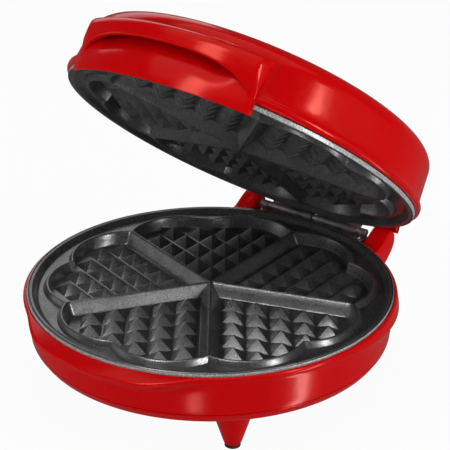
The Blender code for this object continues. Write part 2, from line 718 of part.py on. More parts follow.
def make_base_shell():
    section = [base_row(row, 0.0) for row in range(14)]
    shell = piece("base_shell", lathe(section, SHELL_STEPS, shape=base_row), RED, base_datum)
    front = HINGE_BACK - CHEEK_RAMP_BACK
    cheek = [
        (front, -CHEEK_FOOT),
        (front, -RIM_DROP - RIM_ROUND),
        (HINGE_BACK - CHEEK_TOP_BACK / 2, HINGE_RISE + CHEEK_TOP_RISE / 2),
        (HINGE_BACK + CHEEK_TOP_BACK, HINGE_RISE + CHEEK_TOP_RISE),
        (HINGE_BACK + CHEEK_REACH * 0.7, HINGE_RISE + CHEEK_TOP_RISE * 0.85),
        (HINGE_BACK + CHEEK_REACH * 0.95, HINGE_RISE + CHEEK_TOP_RISE * 0.2),
        (HINGE_BACK + CHEEK_REACH, -CHEEK_TOP_RISE),
        (HINGE_BACK + CHEEK_CHIN, -CHEEK_FOOT * 0.56),
        (HINGE_BACK - CHEEK_CHIN / 2, -CHEEK_FOOT * 0.9),
    ]
    depth = [(y - 0.0, z) for y, z in cheek]
    start = WAIST_RADIUS - WALL - DECK_FRONT
    for side, name in ((-1, "left"), (1, "right")):
        ends = sorted((side * CHEEK_INSIDE, side * CHEEK_OUTSIDE))
        inner = math.sqrt((WAIST_RADIUS - WALL / 2) ** 2 - CHEEK_OUTSIDE ** 2)
        outline = [(inner, -CHEEK_FOOT), (inner, -RIM_DROP - 2 * RIM_ROUND)] + depth[1:]
        shape_with(shell, tool(f"cheek_{name}", prism(outline, *ends), base_datum), "UNION")
    inner = math.sqrt((WAIST_RADIUS - WALL / 2) ** 2 - CHEEK_OUTSIDE ** 2)
    back = HINGE_BACK + DECK_REACH
    deck = [
        (max(start, inner), -DECK_FOOT),
        (max(start, inner), -DECK_DROP),
        (back, -DECK_DROP),
        (back, -DECK_DROP - DECK_EDGE),
        (WAIST_RADIUS, -DECK_FOOT),
    ]
    across = CHEEK_INSIDE + ROOT
    shape_with(shell, tool("hinge_deck", prism(deck, -across, across), base_datum), "UNION")
    notch_front = HINGE_BACK - LEAF_FRONT - SEAT_GAP
    notch = box((-BARREL_OUTER_END - SEAT_GAP, notch_front, -DECK_DROP),
                (BARREL_OUTER_END + SEAT_GAP, HINGE_BACK + DECK_REACH + OVERRUN, OVERRUN))
    shape_with(shell, tool("hinge_notch", notch, base_datum), "DIFFERENCE")
    seat = -LEDGE_DROP + SEAT_GAP / 2
    well = RIM_INSIDE - LEDGE_WIDTH - SEAT_GAP
    plate_room = lathe([(0, OVERRUN), (PLATE_RADIUS + SEAT_GAP, OVERRUN), (PLATE_RADIUS + SEAT_GAP, seat),
                        (well, seat), (well, -CHEEK_FOOT - OVERRUN), (0, -CHEEK_FOOT - OVERRUN)],
                       SHELL_STEPS, closed=False)
    shape_with(shell, tool("plate_room", plate_room, base_datum), "DIFFERENCE")
    floor = -TRAY_DROP + TRAY_FLOOR + SEAT_GAP
    for index, place in enumerate(tray_screw_places()):
        low, high = (place.x, place.y, floor), (place.x, place.y, floor + BOSS_HEIGHT)
        shape_with(shell, tool(f"tray_boss_{index + 1}", rod(BOSS_RADIUS, low, high), base_datum), "UNION")
        rib = box((TRAY_SCREW_CIRCLE, -BOSS_RIB / 2, floor + BOSS_HEIGHT - BOSS_RIB_HEIGHT),
                  (WAIST_RADIUS - WALL / 2, BOSS_RIB / 2, floor + BOSS_HEIGHT - ROOT))
        bmesh.ops.rotate(rib, matrix=Matrix.Rotation(math.atan2(place.y, place.x), 3, "Z"), verts=rib.verts)
        shape_with(shell, tool(f"tray_boss_rib_{index + 1}", rib, base_datum), "UNION")
    for index, place in enumerate(tray_screw_places()):
        ends = [(place.x, place.y, floor - OVERRUN), (place.x, place.y, floor + SCREW_LENGTH + SEAT_GAP)]
        pilot = tool(f"tray_pilot_{index + 1}", rod(SCREW_SHANK + HOLE_CLEARANCE, *ends, 12), base_datum)
        shape_with(shell, pilot, "DIFFERENCE")
    for side, name in ((-1, "left"), (1, "right")):
        place = (side * LEAF_SCREW_ACROSS, HINGE_BACK - LEAF_SCREW_FRONT)
        ends = [(*place, -DECK_DROP + OVERRUN), (*place, -DECK_DROP - SCREW_LENGTH)]
        pilot = tool(f"leaf_pilot_{name}", rod(SCREW_SHANK + HOLE_CLEARANCE, *ends, 12), base_datum)
        shape_with(shell, pilot, "DIFFERENCE")
    hole = rod(GLAND_RADIUS + SEAT_GAP, (0, WAIST_RADIUS - GLAND_LENGTH, -GLAND_DROP),
               (0, WAIST_RADIUS + GLAND_LENGTH, -GLAND_DROP))
    shape_with(shell, tool("gland_hole", hole, base_datum), "DIFFERENCE")


def make_base_tray():
    rim = -SEAM_DROP - SEAT_GAP
    floor = -TRAY_DROP
    section = [
        (0, floor),
        (SEAM_RADIUS - TRAY_CHAMFER_IN - TRAY_ROUND, floor),
        (SEAM_RADIUS - TRAY_CHAMFER_IN, floor + TRAY_ROUND / 2),
        (SEAM_RADIUS - TRAY_ROUND / 3, rim - TRAY_ROUND),
        (SEAM_RADIUS, rim),
        (SEAM_RADIUS - WALL, rim),
        (SEAM_RADIUS - WALL - TRAY_ROUND, rim - TRAY_ROUND),
        (SEAM_RADIUS - TRAY_CHAMFER_IN - WALL, floor + TRAY_FLOOR),
        (0, floor + TRAY_FLOOR),
    ]
    tray = piece("base_tray", lathe(section, 72, closed=False), RED, base_datum)
    for index in range(FEET):
        theta = FULL * (index + 0.5) / FEET
        top = on_circle(FOOT_CIRCLE, theta, floor + TRAY_FLOOR / 2)
        tip = on_circle(FOOT_CIRCLE, theta, floor - FOOT_LENGTH)
        cone = rod(FOOT_TOP_RADIUS, top, tip, 24, FOOT_TIP_RADIUS)
        shape_with(tray, tool(f"foot_cone_{index + 1}", cone, base_datum), "UNION")
        pad_top = tip - Vector((0, 0, SEAT_GAP))
        pad_low = pad_top - Vector((0, 0, PAD_THICKNESS))
        piece(f"foot_pad_{index + 1}", rod(FOOT_TIP_RADIUS - PAD_INSET, pad_top, pad_low, 24), RUBBER, base_datum)
    for index, place in enumerate(tray_screw_places()):
        ends = [(place.x, place.y, floor - OVERRUN), (place.x, place.y, floor + TRAY_FLOOR + OVERRUN)]
        hole = tool(f"tray_hole_{index + 1}", rod(SCREW_SHANK + HOLE_CLEARANCE, *ends, 12), base_datum)
        shape_with(tray, hole, "DIFFERENCE")
        screw(f"tray_screw_{index + 1}", base_datum, (place.x, place.y, floor), (0, 0, -1),
              TRAY_FLOOR + SCREW_LENGTH - SEAT_GAP)


def make_base_inside():
    back = -PLATE_THICKNESS
    legs = heating_element("lower_element", base_datum, back, -1)
    heat_shield("lower_heat_shield", base_datum, back, -1, legs)
    top = back - SEAT_GAP
    body = piece("thermostat", rod(THERMOSTAT_RADIUS, (THERMOSTAT_PLACE, 0, top),
                                   (THERMOSTAT_PLACE, 0, top - THERMOSTAT_HEIGHT), 24), NYLON, base_datum)
    tabs = box((THERMOSTAT_PLACE - THERMOSTAT_TAB / 3, -THERMOSTAT_RADIUS - THERMOSTAT_TAB, top - THERMOSTAT_HEIGHT + SHEET),
               (THERMOSTAT_PLACE + THERMOSTAT_TAB / 3, THERMOSTAT_RADIUS + THERMOSTAT_TAB, top - THERMOSTAT_HEIGHT + 2 * SHEET))
    shape_with(body, tool("thermostat_tabs", tabs, base_datum), "UNION")
    floor = -TRAY_DROP + TRAY_FLOOR + SEAT_GAP
    block = piece("terminal_block", box((-BLOCK_WIDTH / 2, BLOCK_BACK - BLOCK_DEPTH, floor),
                                        (BLOCK_WIDTH / 2, BLOCK_BACK, floor + BLOCK_HEIGHT)), CERAMIC, base_datum)
    for index in (-1, 0, 1):
        place = (index * BLOCK_WIDTH / 3, BLOCK_BACK - BLOCK_DEPTH / 2)
        well = rod(BLOCK_WIDTH / 10, (*place, floor + BLOCK_HEIGHT / 2), (*place, floor + BLOCK_HEIGHT + OVERRUN), 12)
        shape_with(block, tool(f"terminal_well_{index + 2}", well, base_datum), "DIFFERENCE")
    axis = floor + FUSE_RADIUS + SHEET
    fuse = piece("thermal_fuse", rod(FUSE_RADIUS, (-FUSE_LENGTH / 2, FUSE_BACK, axis),
                                     (FUSE_LENGTH / 2, FUSE_BACK, axis), 16), SLEEVE, base_datum)
    clip = box((-FUSE_CLIP / 2, FUSE_BACK - FUSE_RADIUS - SHEET, floor),
               (FUSE_CLIP / 2, FUSE_BACK + FUSE_RADIUS + SHEET, axis + FUSE_RADIUS / 2))
    shape_with(fuse, tool("fuse_clip", clip, base_datum), "UNION")
    collar = WAIST_RADIUS + SEAT_GAP + ROOT
    gland = piece("cord_gland", rod(GLAND_COLLAR_RADIUS, (0, collar, -GLAND_DROP),
                                    (0, collar + GLAND_COLLAR, -GLAND_DROP), 24, GLAND_RADIUS), NYLON, base_datum)
    barrel = rod(GLAND_RADIUS, (0, collar + ROOT, -GLAND_DROP), (0, collar + GLAND_COLLAR - GLAND_LENGTH, -GLAND_DROP), 24)
    shape_with(gland, tool("gland_barrel", barrel, base_datum), "UNION")
    bore = rod(GLAND_BORE, (0, collar + GLAND_COLLAR + OVERRUN, -GLAND_DROP),
               (0, collar - GLAND_LENGTH - OVERRUN, -GLAND_DROP), 24)
    shape_with(gland, tool("gland_bore", bore, base_datum), "DIFFERENCE")
    wire_height = floor + BLOCK_HEIGHT / 2
    block_front = BLOCK_BACK - BLOCK_DEPTH
    for side, leg in ((-1, legs[0]), (1, legs[1])):
        name = "left" if side < 0 else "right"
        start = Vector((side * (BLOCK_WIDTH / 2 + SEAT_GAP), BLOCK_BACK - BLOCK_DEPTH / 2, wire_height))
        end = Vector((leg.x, leg.y, leg.z - SEAT_GAP))
        run = [start, start + Vector((side * 2 * LEAD_RADIUS, 0, 0)),
               Vector((start.x + side * 2 * LEAD_RADIUS, block_front - 2 * LEAD_RADIUS, wire_height)),
               Vector((leg.x, leg.y, wire_height)), end]
        tube(f"element_lead_{name}", run, LEAD_RADIUS, SLEEVE, base_datum, 1)


# Hinge


def barrel(low, high, sides=20):
    return rod(BARREL_RADIUS, (low, HINGE_BACK, HINGE_RISE), (high, HINGE_BACK, HINGE_RISE), sides)


def drill_barrels(body, name, datum, reach):
    drill = rod(PIN_RADIUS + PIN_RUNNING_GAP, (-reach, HINGE_BACK, HINGE_RISE), (reach, HINGE_BACK, HINGE_RISE), 16)
    shape_with(body, tool(f"{name}_drill", drill, datum), "DIFFERENCE")


def make_hinge():
    low = -DECK_DROP + SEAT_GAP
    high = low + LEAF_THICKNESS
    leaf = piece("hinge_base_leaf",
                 box((-BARREL_OUTER_END, HINGE_BACK - LEAF_FRONT, low),
                     (BARREL_OUTER_END, HINGE_BACK + BARREL_RADIUS, high)), STEEL, base_datum)
    for side, name in ((-1, "left"), (1, "right")):
        ends = sorted((side * (BARREL_JOINT + BARREL_SLACK / 2), side * BARREL_OUTER_END))
        web = box((ends[0] + SEAT_GAP, HINGE_BACK - LEAF_THICKNESS, low + LEAF_THICKNESS / 2),
                  (ends[1] - SEAT_GAP, HINGE_BACK + LEAF_THICKNESS, HINGE_RISE))
        shape_with(leaf, tool(f"end_barrel_{name}", barrel(*ends), base_datum), "UNION")
        shape_with(leaf, tool(f"end_web_{name}", web, base_datum), "UNION")
        place = (side * LEAF_SCREW_ACROSS, HINGE_BACK - LEAF_SCREW_FRONT)
        hole = rod(SCREW_SHANK + HOLE_CLEARANCE, (*place, low - OVERRUN), (*place, high + OVERRUN / 4), 12)
        shape_with(leaf, tool(f"leaf_hole_{name}", hole, base_datum), "DIFFERENCE")
        screw(f"hinge_screw_base_{name}", base_datum, (*place, high), (0, 0, 1), LEAF_THICKNESS + SCREW_LENGTH - SEAT_GAP,
              SCREW_HEAD * 0.8)
    drill_barrels(leaf, "hinge_base_leaf", base_datum, BARREL_OUTER_END + OVERRUN)
    piece("hinge_pin", rod(PIN_RADIUS, (-BARREL_OUTER_END, HINGE_BACK, HINGE_RISE),
                           (BARREL_OUTER_END, HINGE_BACK, HINGE_RISE), 16), ZINC, base_datum)

    inner = HINGE_BACK + BARREL_RADIUS - LEAF_THICKNESS
    lid_low, lid_high = HINGE_RISE, PLATE_GAP + LID_LEAF_TOP
    long_end = BARREL_JOINT - BARREL_SLACK / 2
    lid_leaf = piece("hinge_lid_leaf", box((-long_end, inner, LID_LIP_BOTTOM - LEAF_THICKNESS),
                                           (long_end, inner + LEAF_THICKNESS, lid_high)), STEEL, lid_datum)
    for side, name in ((-1, "left"), (1, "right")):
        ends = sorted((side * BARREL_SLACK, side * long_end))
        strap = box((ends[0] + SEAT_GAP, inner + SEAT_GAP / 2, lid_low),
                    (ends[1] - SEAT_GAP, inner + LEAF_THICKNESS - SEAT_GAP / 2, LID_LIP_BOTTOM))
        shape_with(lid_leaf, tool(f"long_barrel_{name}", barrel(*ends), lid_datum), "UNION")
        shape_with(lid_leaf, tool(f"long_strap_{name}", strap, lid_datum), "UNION")
        place = (side * LID_LEAF_SCREW_ACROSS, PLATE_GAP + LID_LEAF_SCREW_RISE)
        ends = [(place[0], inner - OVERRUN / 8, place[1]), (place[0], inner + LEAF_THICKNESS + OVERRUN, place[1])]
        hole = rod(SCREW_SHANK + HOLE_CLEARANCE, *ends, 12)
        shape_with(lid_leaf, tool(f"lid_leaf_hole_{name}", hole, lid_datum), "DIFFERENCE")
        screw(f"hinge_screw_lid_{name}", lid_datum, (place[0], inner + LEAF_THICKNESS, place[1]), (0, 1, 0),
              LEAF_THICKNESS + SCREW_LENGTH / 2 - SEAT_GAP, SCREW_HEAD * 0.8)
    drill_barrels(lid_leaf, "hinge_lid_leaf", lid_datum, BARREL_OUTER_END + OVERRUN)


# Lid


def crown_points(inset):
    """The lid's outer section from the top of its side wall to its centre, moved in by inset."""
    points = []
    for k in range(SHOULDER_STEPS + 1):
        t = QUARTER * 0.72 * k / SHOULDER_STEPS
        points.append((LID_SIDE_RADIUS - SHOULDER_IN * (1 - math.cos(t)) / (1 - math.cos(QUARTER * 0.72)),
                       LID_SIDE_TOP + SHOULDER_RISE * math.sin(t) / math.sin(QUARTER * 0.72)))
    radius, height = points[-1]
    for k in range(1, DOME_STEPS + 1):
        share = k / DOME_STEPS
        points.append((radius * (1 - share), height + (LID_TOP - height) * (1 - (1 - share) ** DOME_POWER)))
    if inset:
        slope = inset / radius
        points = [(max(0.0, r * (1 - slope)), h - inset) for r, h in points]
    return points


def lid_outer(gap=0.0):
    """The lid shell's outer section from its lip to the centre, moved out by gap."""
    lip_top = LID_LIP_BOTTOM + LID_LIP_HEIGHT
    side = [
        (LID_LIP_RADIUS - LID_LIP_ROUND, LID_LIP_BOTTOM),
        (LID_LIP_RADIUS, LID_LIP_BOTTOM + LID_LIP_ROUND),
        (LID_LIP_RADIUS, lip_top - LID_LIP_ROUND / 2),
        (LID_LIP_RADIUS - LID_GROOVE, lip_top + LID_GROOVE_HEIGHT / 2),
        (LID_LIP_RADIUS - LID_GROOVE - LID_LIP_ROUND / 2, lip_top + LID_GROOVE_HEIGHT * 2),
    ]
    return [(r + gap if r else 0.0, h) for r, h in side + crown_points(0.0)]


def make_lid_shell():
    outer = lid_outer()
    inside = LID_SIDE_RADIUS - WALL
    inner = [(0.0, LID_TOP - WALL)] + list(reversed(crown_points(WALL)))[1:]
    inner += [(inside, LID_SIDE_TOP * 0.9), (inside, LID_LIP_BOTTOM)]
    shell = piece("lid_shell", lathe(outer + inner + [outer[0]], LID_STEPS, closed=False), RED, lid_datum)
    bm = bmesh.new()
    bm.from_mesh(shell.data)
    bmesh.ops.remove_doubles(bm, verts=bm.verts, dist=SEAT_GAP / 100)
    bmesh.ops.recalc_face_normals(bm, faces=bm.faces)
    bm.to_mesh(shell.data)
    bm.free()
    window = lathe([(INSERT_BACK - OVERRUN, LID_LIP_BOTTOM - OVERRUN), (LID_LIP_RADIUS + OVERRUN, LID_LIP_BOTTOM - OVERRUN),
                    (LID_LIP_RADIUS + OVERRUN, WINDOW_TOP), (INSERT_BACK - OVERRUN, WINDOW_TOP)],
                   24, centre=FRONT, half=INSERT_HALF + SEAT_GAP / LID_SIDE_RADIUS)
    shape_with(shell, tool("handle_window", window, lid_datum), "DIFFERENCE")
    leaf_inner = HINGE_BACK + BARREL_RADIUS - LEAF_THICKNESS
    for side, name in ((-1, "left"), (1, "right")):
        middle = side * LID_LEAF_SCREW_ACROSS
        rise = PLATE_GAP + LID_LEAF_SCREW_RISE
        wall_y = math.sqrt((LID_SIDE_RADIUS - WALL / 2) ** 2 - middle ** 2)
        boss = box((middle - LID_BOSS_HALF, wall_y, LID_LIP_BOTTOM + LID_LIP_ROUND),
                   (middle + LID_BOSS_HALF, leaf_inner - SEAT_GAP, PLATE_GAP + LID_LEAF_TOP))
        shape_with(shell, tool(f"leaf_boss_{name}", boss, lid_datum), "UNION")
        ends = [(middle, leaf_inner + OVERRUN, rise), (middle, leaf_inner - SCREW_LENGTH / 2 - SEAT_GAP, rise)]
        pilot = tool(f"lid_leaf_pilot_{name}", rod(SCREW_SHANK + HOLE_CLEARANCE, *ends, 12), lid_datum)
        shape_with(shell, pilot, "DIFFERENCE")
        theta = FRONT + side * HANDLE_SCREW_TURN
        inside_wall = LID_SIDE_RADIUS - WALL
        ends = [on_circle(inside_wall - OVERRUN, theta, HANDLE_SCREW_RISE),
                on_circle(LID_LIP_RADIUS + OVERRUN, theta, HANDLE_SCREW_RISE)]
        hole = tool(f"handle_hole_{name}", rod(SCREW_SHANK + HOLE_CLEARANCE, *ends, 12), lid_datum)
        shape_with(shell, hole, "DIFFERENCE")
        seat = on_circle(inside_wall, theta, HANDLE_SCREW_RISE)
        screw(f"handle_screw_{name}", lid_datum, seat, on_circle(-1, theta), WALL + SCREW_LENGTH - SEAT_GAP)
        lens_hole = rod(LENS_RADIUS + SEAT_GAP, (side * LAMP_ACROSS, -LAMP_BACK, LID_SIDE_TOP),
                        (side * LAMP_ACROSS, -LAMP_BACK, LID_TOP + OVERRUN))
        shape_with(shell, tool(f"lens_hole_{name}", lens_hole, lid_datum), "DIFFERENCE")


def skirt_underside(radius):
    """The skirt's bottom follows the base lip's slope."""
    shelf = RIM_DROP + SHELF_SLOPE * (radius - RIM_INSIDE - RIM_DROP / 3)
    return -shelf + SKIRT_LIFT


def arch_edge(angle):
    """The arch's lower edge at an angle from the front."""
    return ARCH_HEIGHT * math.sqrt(max(0.0, 1 - (angle / ARCH_HALF) ** ARCH_POWER))


def make_handle():
    inner = LID_LIP_RADIUS + SEAT_GAP
    above = LID_LIP_RADIUS - LID_GROOVE + 2 * SEAT_GAP
    lip_top = LID_LIP_BOTTOM + LID_LIP_HEIGHT
    edge = HANDLE_TOP_EDGE
    section = [
        (inner, skirt_underside(inner)),
        (SKIRT_RADIUS - SKIRT_BEVEL, skirt_underside(SKIRT_RADIUS - SKIRT_BEVEL)),
        (SKIRT_RADIUS, skirt_underside(SKIRT_RADIUS) + SKIRT_BEVEL),
        (HANDLE_FRONT, ARCH_HEIGHT),
        (HANDLE_FRONT, edge - SKIRT_BEVEL),
        (HANDLE_FRONT - SKIRT_BEVEL, edge + SKIRT_BEVEL / 2),
        (HANDLE_FRONT - HANDLE_TOP_IN, edge + HANDLE_TOP_IN * 0.8),
        (LID_SIDE_RADIUS + 2 * SEAT_GAP, LID_SIDE_TOP + SKIRT_BEVEL),
        (above - SKIRT_BEVEL / 2, lip_top + LID_GROOVE_HEIGHT * 2),
        (inner, lip_top + LID_GROOVE_HEIGHT / 2),
    ]
    handle = piece("lid_handle", lathe(section, HANDLE_STEPS, centre=FRONT, half=HANDLE_HALF), RED, lid_datum)
    flange_top = PLATE_GAP + UPPER_FLANGE_THICKNESS
    underside = PLATE_GAP + PLATE_SHOULDER + FLANGE_THICKNESS
    insert = lathe([
        (inner + ROOT, flange_top + 3 * SEAT_GAP),
        (inner + ROOT, WINDOW_TOP - SEAT_GAP),
        (INSERT_BACK, WINDOW_TOP - SEAT_GAP),
        (INSERT_BACK, (underside + WINDOW_TOP) / 2),
        (INSERT_BACK + ROOT, underside + WALL * 1.5),
        (UPPER_PLATE_RADIUS - FLANGE_WIDTH + SEAT_GAP * 3, underside + SEAT_GAP),
        (UPPER_PLATE_RADIUS - SEAT_GAP, flange_top + 3 * SEAT_GAP),
    ], HANDLE_STEPS, centre=FRONT, half=INSERT_HALF)
    shape_with(handle, tool("handle_insert", insert, lid_datum), "UNION")
    outside = HANDLE_FRONT + 2 * OVERRUN
    hollow = HANDLE_FRONT - ARCH_THICKNESS
    fall = outside - hollow + 2 * ROOT

    def floor_height(theta):
        return SCOOP_FLOOR * (1 - 0.2 * smooth_share(from_front(theta), SCOOP_HALF / 2, ARCH_HALF))

    def opening_row(row, theta):
        """The hole under the arch, through the handle's front wall."""
        height = max(arch_edge(from_front(theta)), floor_height(theta) + ROOT)
        return [
            (outside, height),
            (hollow - 2 * ROOT, height),
            (hollow - 2 * ROOT, floor_height(theta)),
            (outside, floor_height(theta) - fall),
        ][row]

    def scoop_row(row, theta):
        """The hollow behind the arch, whose floor slopes out to the skirt."""
        closing = smooth_share(from_front(theta), SCOOP_HALF * 0.6, SCOOP_HALF)
        roof = arch_edge(from_front(theta)) + POCKET_RISE * (1 - closing * 0.8)
        width = (hollow - POCKET_BACK) * (1 - closing * 0.5)
        back = hollow - width
        return [
            (hollow, roof),
            (back + width * 0.12, roof),
            (back, roof * 0.93),
            (back + width * 0.05, roof * 0.70),
            (back + width * 0.35, roof * 0.46),
            (back + width * 0.75, roof * 0.22),
            (hollow, floor_height(theta)),
        ][row]

    for name, row, count, half in (("arch_opening", opening_row, 4, ARCH_HALF), ("finger_scoop", scoop_row, 7, SCOOP_HALF)):
        cutter = lathe([row(k, FRONT) for k in range(count)], HANDLE_STEPS, shape=row, centre=FRONT, half=half)
        shape_with(handle, tool(name, cutter, lid_datum), "DIFFERENCE")
    for side, name in ((-1, "left"), (1, "right")):
        theta = FRONT + side * HANDLE_SCREW_TURN
        ends = [on_circle(INSERT_BACK, theta, HANDLE_SCREW_RISE),
                on_circle(LID_SIDE_RADIUS + SCREW_LENGTH + SEAT_GAP, theta, HANDLE_SCREW_RISE)]
        pilot = tool(f"handle_pilot_{name}", rod(SCREW_SHANK + HOLE_CLEARANCE, *ends, 12), lid_datum)
        shape_with(handle, pilot, "DIFFERENCE")


def make_hinge_cover():
    """The curved cover behind the hinge, with a cheek at each end that meets the lid's wall."""
    reach = HINGE_BACK + COVER_REACH
    lip = HINGE_RISE + COVER_LIP_RISE
    root = math.sqrt(LID_SIDE_RADIUS ** 2 - COVER_HALF ** 2) - WALL
    top = LID_SIDE_TOP - WALL / 2
    outer = [
        (root, top),
        (LID_SIDE_RADIUS, top - WALL / 2),
        (HINGE_BACK + COVER_REACH * 0.28, top - COVER_REACH * 0.5),
        (HINGE_BACK + COVER_REACH * 0.72, top - COVER_REACH * 0.98),
        (reach - ROOT, lip + COVER_REACH * 0.28),
        (reach, lip),
    ]
    band_inner = [
        (reach - WALL, lip - ROOT),
        (reach - WALL * 1.25, lip + COVER_REACH * 0.2),
        (HINGE_BACK + COVER_REACH * 0.54, top - COVER_REACH * 1.1),
        (HINGE_BACK + COVER_REACH * 0.14, top - COVER_REACH * 0.68),
        (root, top - COVER_REACH * 0.5),
    ]
    cheek_inner = [
        (reach - WALL, lip - ROOT),
        (HINGE_BACK + COVER_REACH * 0.58, HINGE_RISE + COVER_REACH * 0.76),
        (HINGE_BACK + COVER_REACH * 0.22, HINGE_RISE + COVER_REACH * 0.97),
        (HINGE_BACK - COVER_REACH * 0.5, HINGE_RISE + COVER_REACH),
        (root, HINGE_RISE + COVER_REACH),
    ]
    cover = piece("hinge_cover", prism(outer + band_inner, -COVER_HALF, COVER_HALF), RED, lid_datum)
    for side, name in ((-1, "left"), (1, "right")):
        ends = sorted((side * (COVER_HALF - COVER_CHEEK), side * COVER_HALF))
        shape_with(cover, tool(f"cover_cheek_{name}", prism(outer + cheek_inner, *ends), lid_datum), "UNION")
    room = lid_outer(SEAT_GAP)
    room = [(0.0, -OVERRUN), (room[0][0], -OVERRUN)] + room
    shape_with(cover, tool("cover_room", lathe(room, 96, closed=False), lid_datum), "DIFFERENCE")
    for side, name in ((-1, "left"), (1, "right")):
        middle = side * LID_LEAF_SCREW_ACROSS
        leaf_inner = HINGE_BACK + BARREL_RADIUS - LEAF_THICKNESS
        grow = LID_BOSS_HALF + SEAT_GAP
        room = box((middle - grow, 0, 0), (middle + grow, leaf_inner, PLATE_GAP + LID_LEAF_TOP + SEAT_GAP))
        shape_with(cover, tool(f"cover_boss_room_{name}", room, lid_datum), "DIFFERENCE")


def crown_height(radius):
    """The height of the lid's outer face at a radius inside its dome."""
    points = crown_points(0.0)
    for (r0, h0), (r1, h1) in zip(points, points[1:]):
        if r1 <= radius <= r0:
            return h0 + (h1 - h0) * (r0 - radius) / (r0 - r1)
    return LID_TOP


def make_lid_inside():
    face = PLATE_GAP + PLATE_THICKNESS
    legs = heating_element("upper_element", lid_datum, face, 1)
    heat_shield("upper_heat_shield", lid_datum, face, 1, legs)
    top = crown_height(math.hypot(LAMP_BACK, LAMP_ACROSS))
    for side, name, finish in ((-1, "power", RED_LENS), (1, "ready", GREEN_LENS)):
        place = (side * LAMP_ACROSS, -LAMP_BACK)
        low, high = top + LENS_PROUD - LENS_HEIGHT, top + LENS_PROUD
        piece(f"{name}_lens", rod(LENS_RADIUS, (*place, low), (*place, high), 20, LENS_RADIUS * 0.85),
              finish, lid_datum)
        piece(f"{name}_lamp", rod(LAMP_RADIUS, (*place, low - SEAT_GAP), (*place, low - SEAT_GAP - LAMP_LENGTH), 12),
              NEON, lid_datum)


make_base_shell()
make_base_tray()
plate("lower_plate", PLATE_RADIUS, FLANGE_THICKNESS, base_datum, upper=False)
make_base_inside()
make_hinge()
make_lid_shell()
plate("upper_plate", UPPER_PLATE_RADIUS, UPPER_FLANGE_THICKNESS, lid_datum, upper=True)
make_handle()
make_hinge_cover()
make_lid_inside()
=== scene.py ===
"""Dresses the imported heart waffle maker: glossy red shells, coated plates, hinge, feet and lamps.

Shapes are drawn in millimetres from the middle of the lower plate's face, with the lid closed.
The helpers turn them into metres, and finish_piece lays each one in its body's place.
"""

import math

import bmesh
import bpy
from mathutils import Matrix, Vector


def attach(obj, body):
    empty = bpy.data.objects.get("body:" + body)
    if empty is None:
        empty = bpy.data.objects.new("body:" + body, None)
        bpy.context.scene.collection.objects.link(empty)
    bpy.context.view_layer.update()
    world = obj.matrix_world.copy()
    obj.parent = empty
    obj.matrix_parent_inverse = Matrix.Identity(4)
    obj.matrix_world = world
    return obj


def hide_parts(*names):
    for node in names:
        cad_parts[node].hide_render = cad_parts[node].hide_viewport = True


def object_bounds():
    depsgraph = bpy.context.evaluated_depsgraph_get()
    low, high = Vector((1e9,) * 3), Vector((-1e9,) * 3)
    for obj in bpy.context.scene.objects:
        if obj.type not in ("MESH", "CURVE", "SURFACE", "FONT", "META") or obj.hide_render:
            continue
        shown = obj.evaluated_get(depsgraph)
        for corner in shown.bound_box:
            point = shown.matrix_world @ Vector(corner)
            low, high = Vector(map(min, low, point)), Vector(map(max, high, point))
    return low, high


bl_info = {
    "name": "Heart Waffle Maker",
    "version": (1, 0, 0),
    "blender": (4, 5, 0),
    "location": "View3D > Sidebar > Waffle Maker",
    "description": "Builds the visible pieces of a round waffle maker with five heart moulds",
    "category": "Add Mesh",
}

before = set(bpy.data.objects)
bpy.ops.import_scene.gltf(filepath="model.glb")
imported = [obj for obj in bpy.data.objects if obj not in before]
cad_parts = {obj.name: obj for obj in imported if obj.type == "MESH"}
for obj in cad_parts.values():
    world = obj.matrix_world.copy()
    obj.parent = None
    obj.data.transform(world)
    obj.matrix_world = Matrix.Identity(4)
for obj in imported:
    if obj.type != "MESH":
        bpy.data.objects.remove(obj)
CAD_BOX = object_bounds()

MM = 0.001
QUARTER = math.pi / 2
FULL = 2 * math.pi
FRONT = math.radians(270)
SAME_POINT = 1e-5  # metres; points closer than this are one
ADD, CUT = "UNION", "DIFFERENCE"

# Places and sizes that several pieces share, as in the CAD model, in millimetres
PLATE_PLANE = 30.0  # the lower plate's face over the frame's origin
PLATE_RIM = 99.5
UPPER_PLATE_RIM = 100.0
PLATE_GAP = 2.4
PIN_BACK, PIN_RISE = 102.0, 0.6
PIN_HALF = 36.8
FOOT_CIRCLE = 79.2
TRAY_SCREW_CIRCLE = 88.5
LENS_ASIDE, LENS_BACK = 9.5, -60.0
LID_SCREW_ASIDE, LID_SCREW_RISE = 18.0, 10.4
BASE_SCREW_ASIDE, BASE_SCREW_BACK = 33.2, 98.4
CORD_RISE = -19.4
LID_OPEN_ANGLE = math.radians(40.5)
HEARTS = 5
SECTOR = FULL / HEARTS

BASE_PLACE = Matrix.Translation((0, 0, PLATE_PLANE * MM))
LID_PLACE = (Matrix.Translation((0, PIN_BACK * MM, (PLATE_PLANE + PIN_RISE) * MM))
             @ Matrix.Rotation(-LID_OPEN_ANGLE, 4, "X")
             @ Matrix.Translation((0, -PIN_BACK * MM, -PIN_RISE * MM)))


# Shapes

CORNER_SHARE = 0.46  # the most of a side that the rounding of its corner takes
OFF_AXIS = math.radians(3)  # keeps a rod's facets off the edges of what it meets


def smooth_share(value, start, end):
    """0 before start, 1 after end, and a soft step between."""
    share = min(1.0, max(0.0, (value - start) / (end - start)))
    return share * share * (3 - 2 * share)


def fade(angle, start, end):
    """The same soft step over an angle, with its start and end in degrees."""
    return smooth_share(angle, math.radians(start), math.radians(end))


def from_front(theta):
    """How far an angle lies from the front, to either side."""
    return abs((theta - FRONT + math.pi) % FULL - math.pi)


def polar(radius, theta):
    return Vector((radius * math.cos(theta), radius * math.sin(theta)))


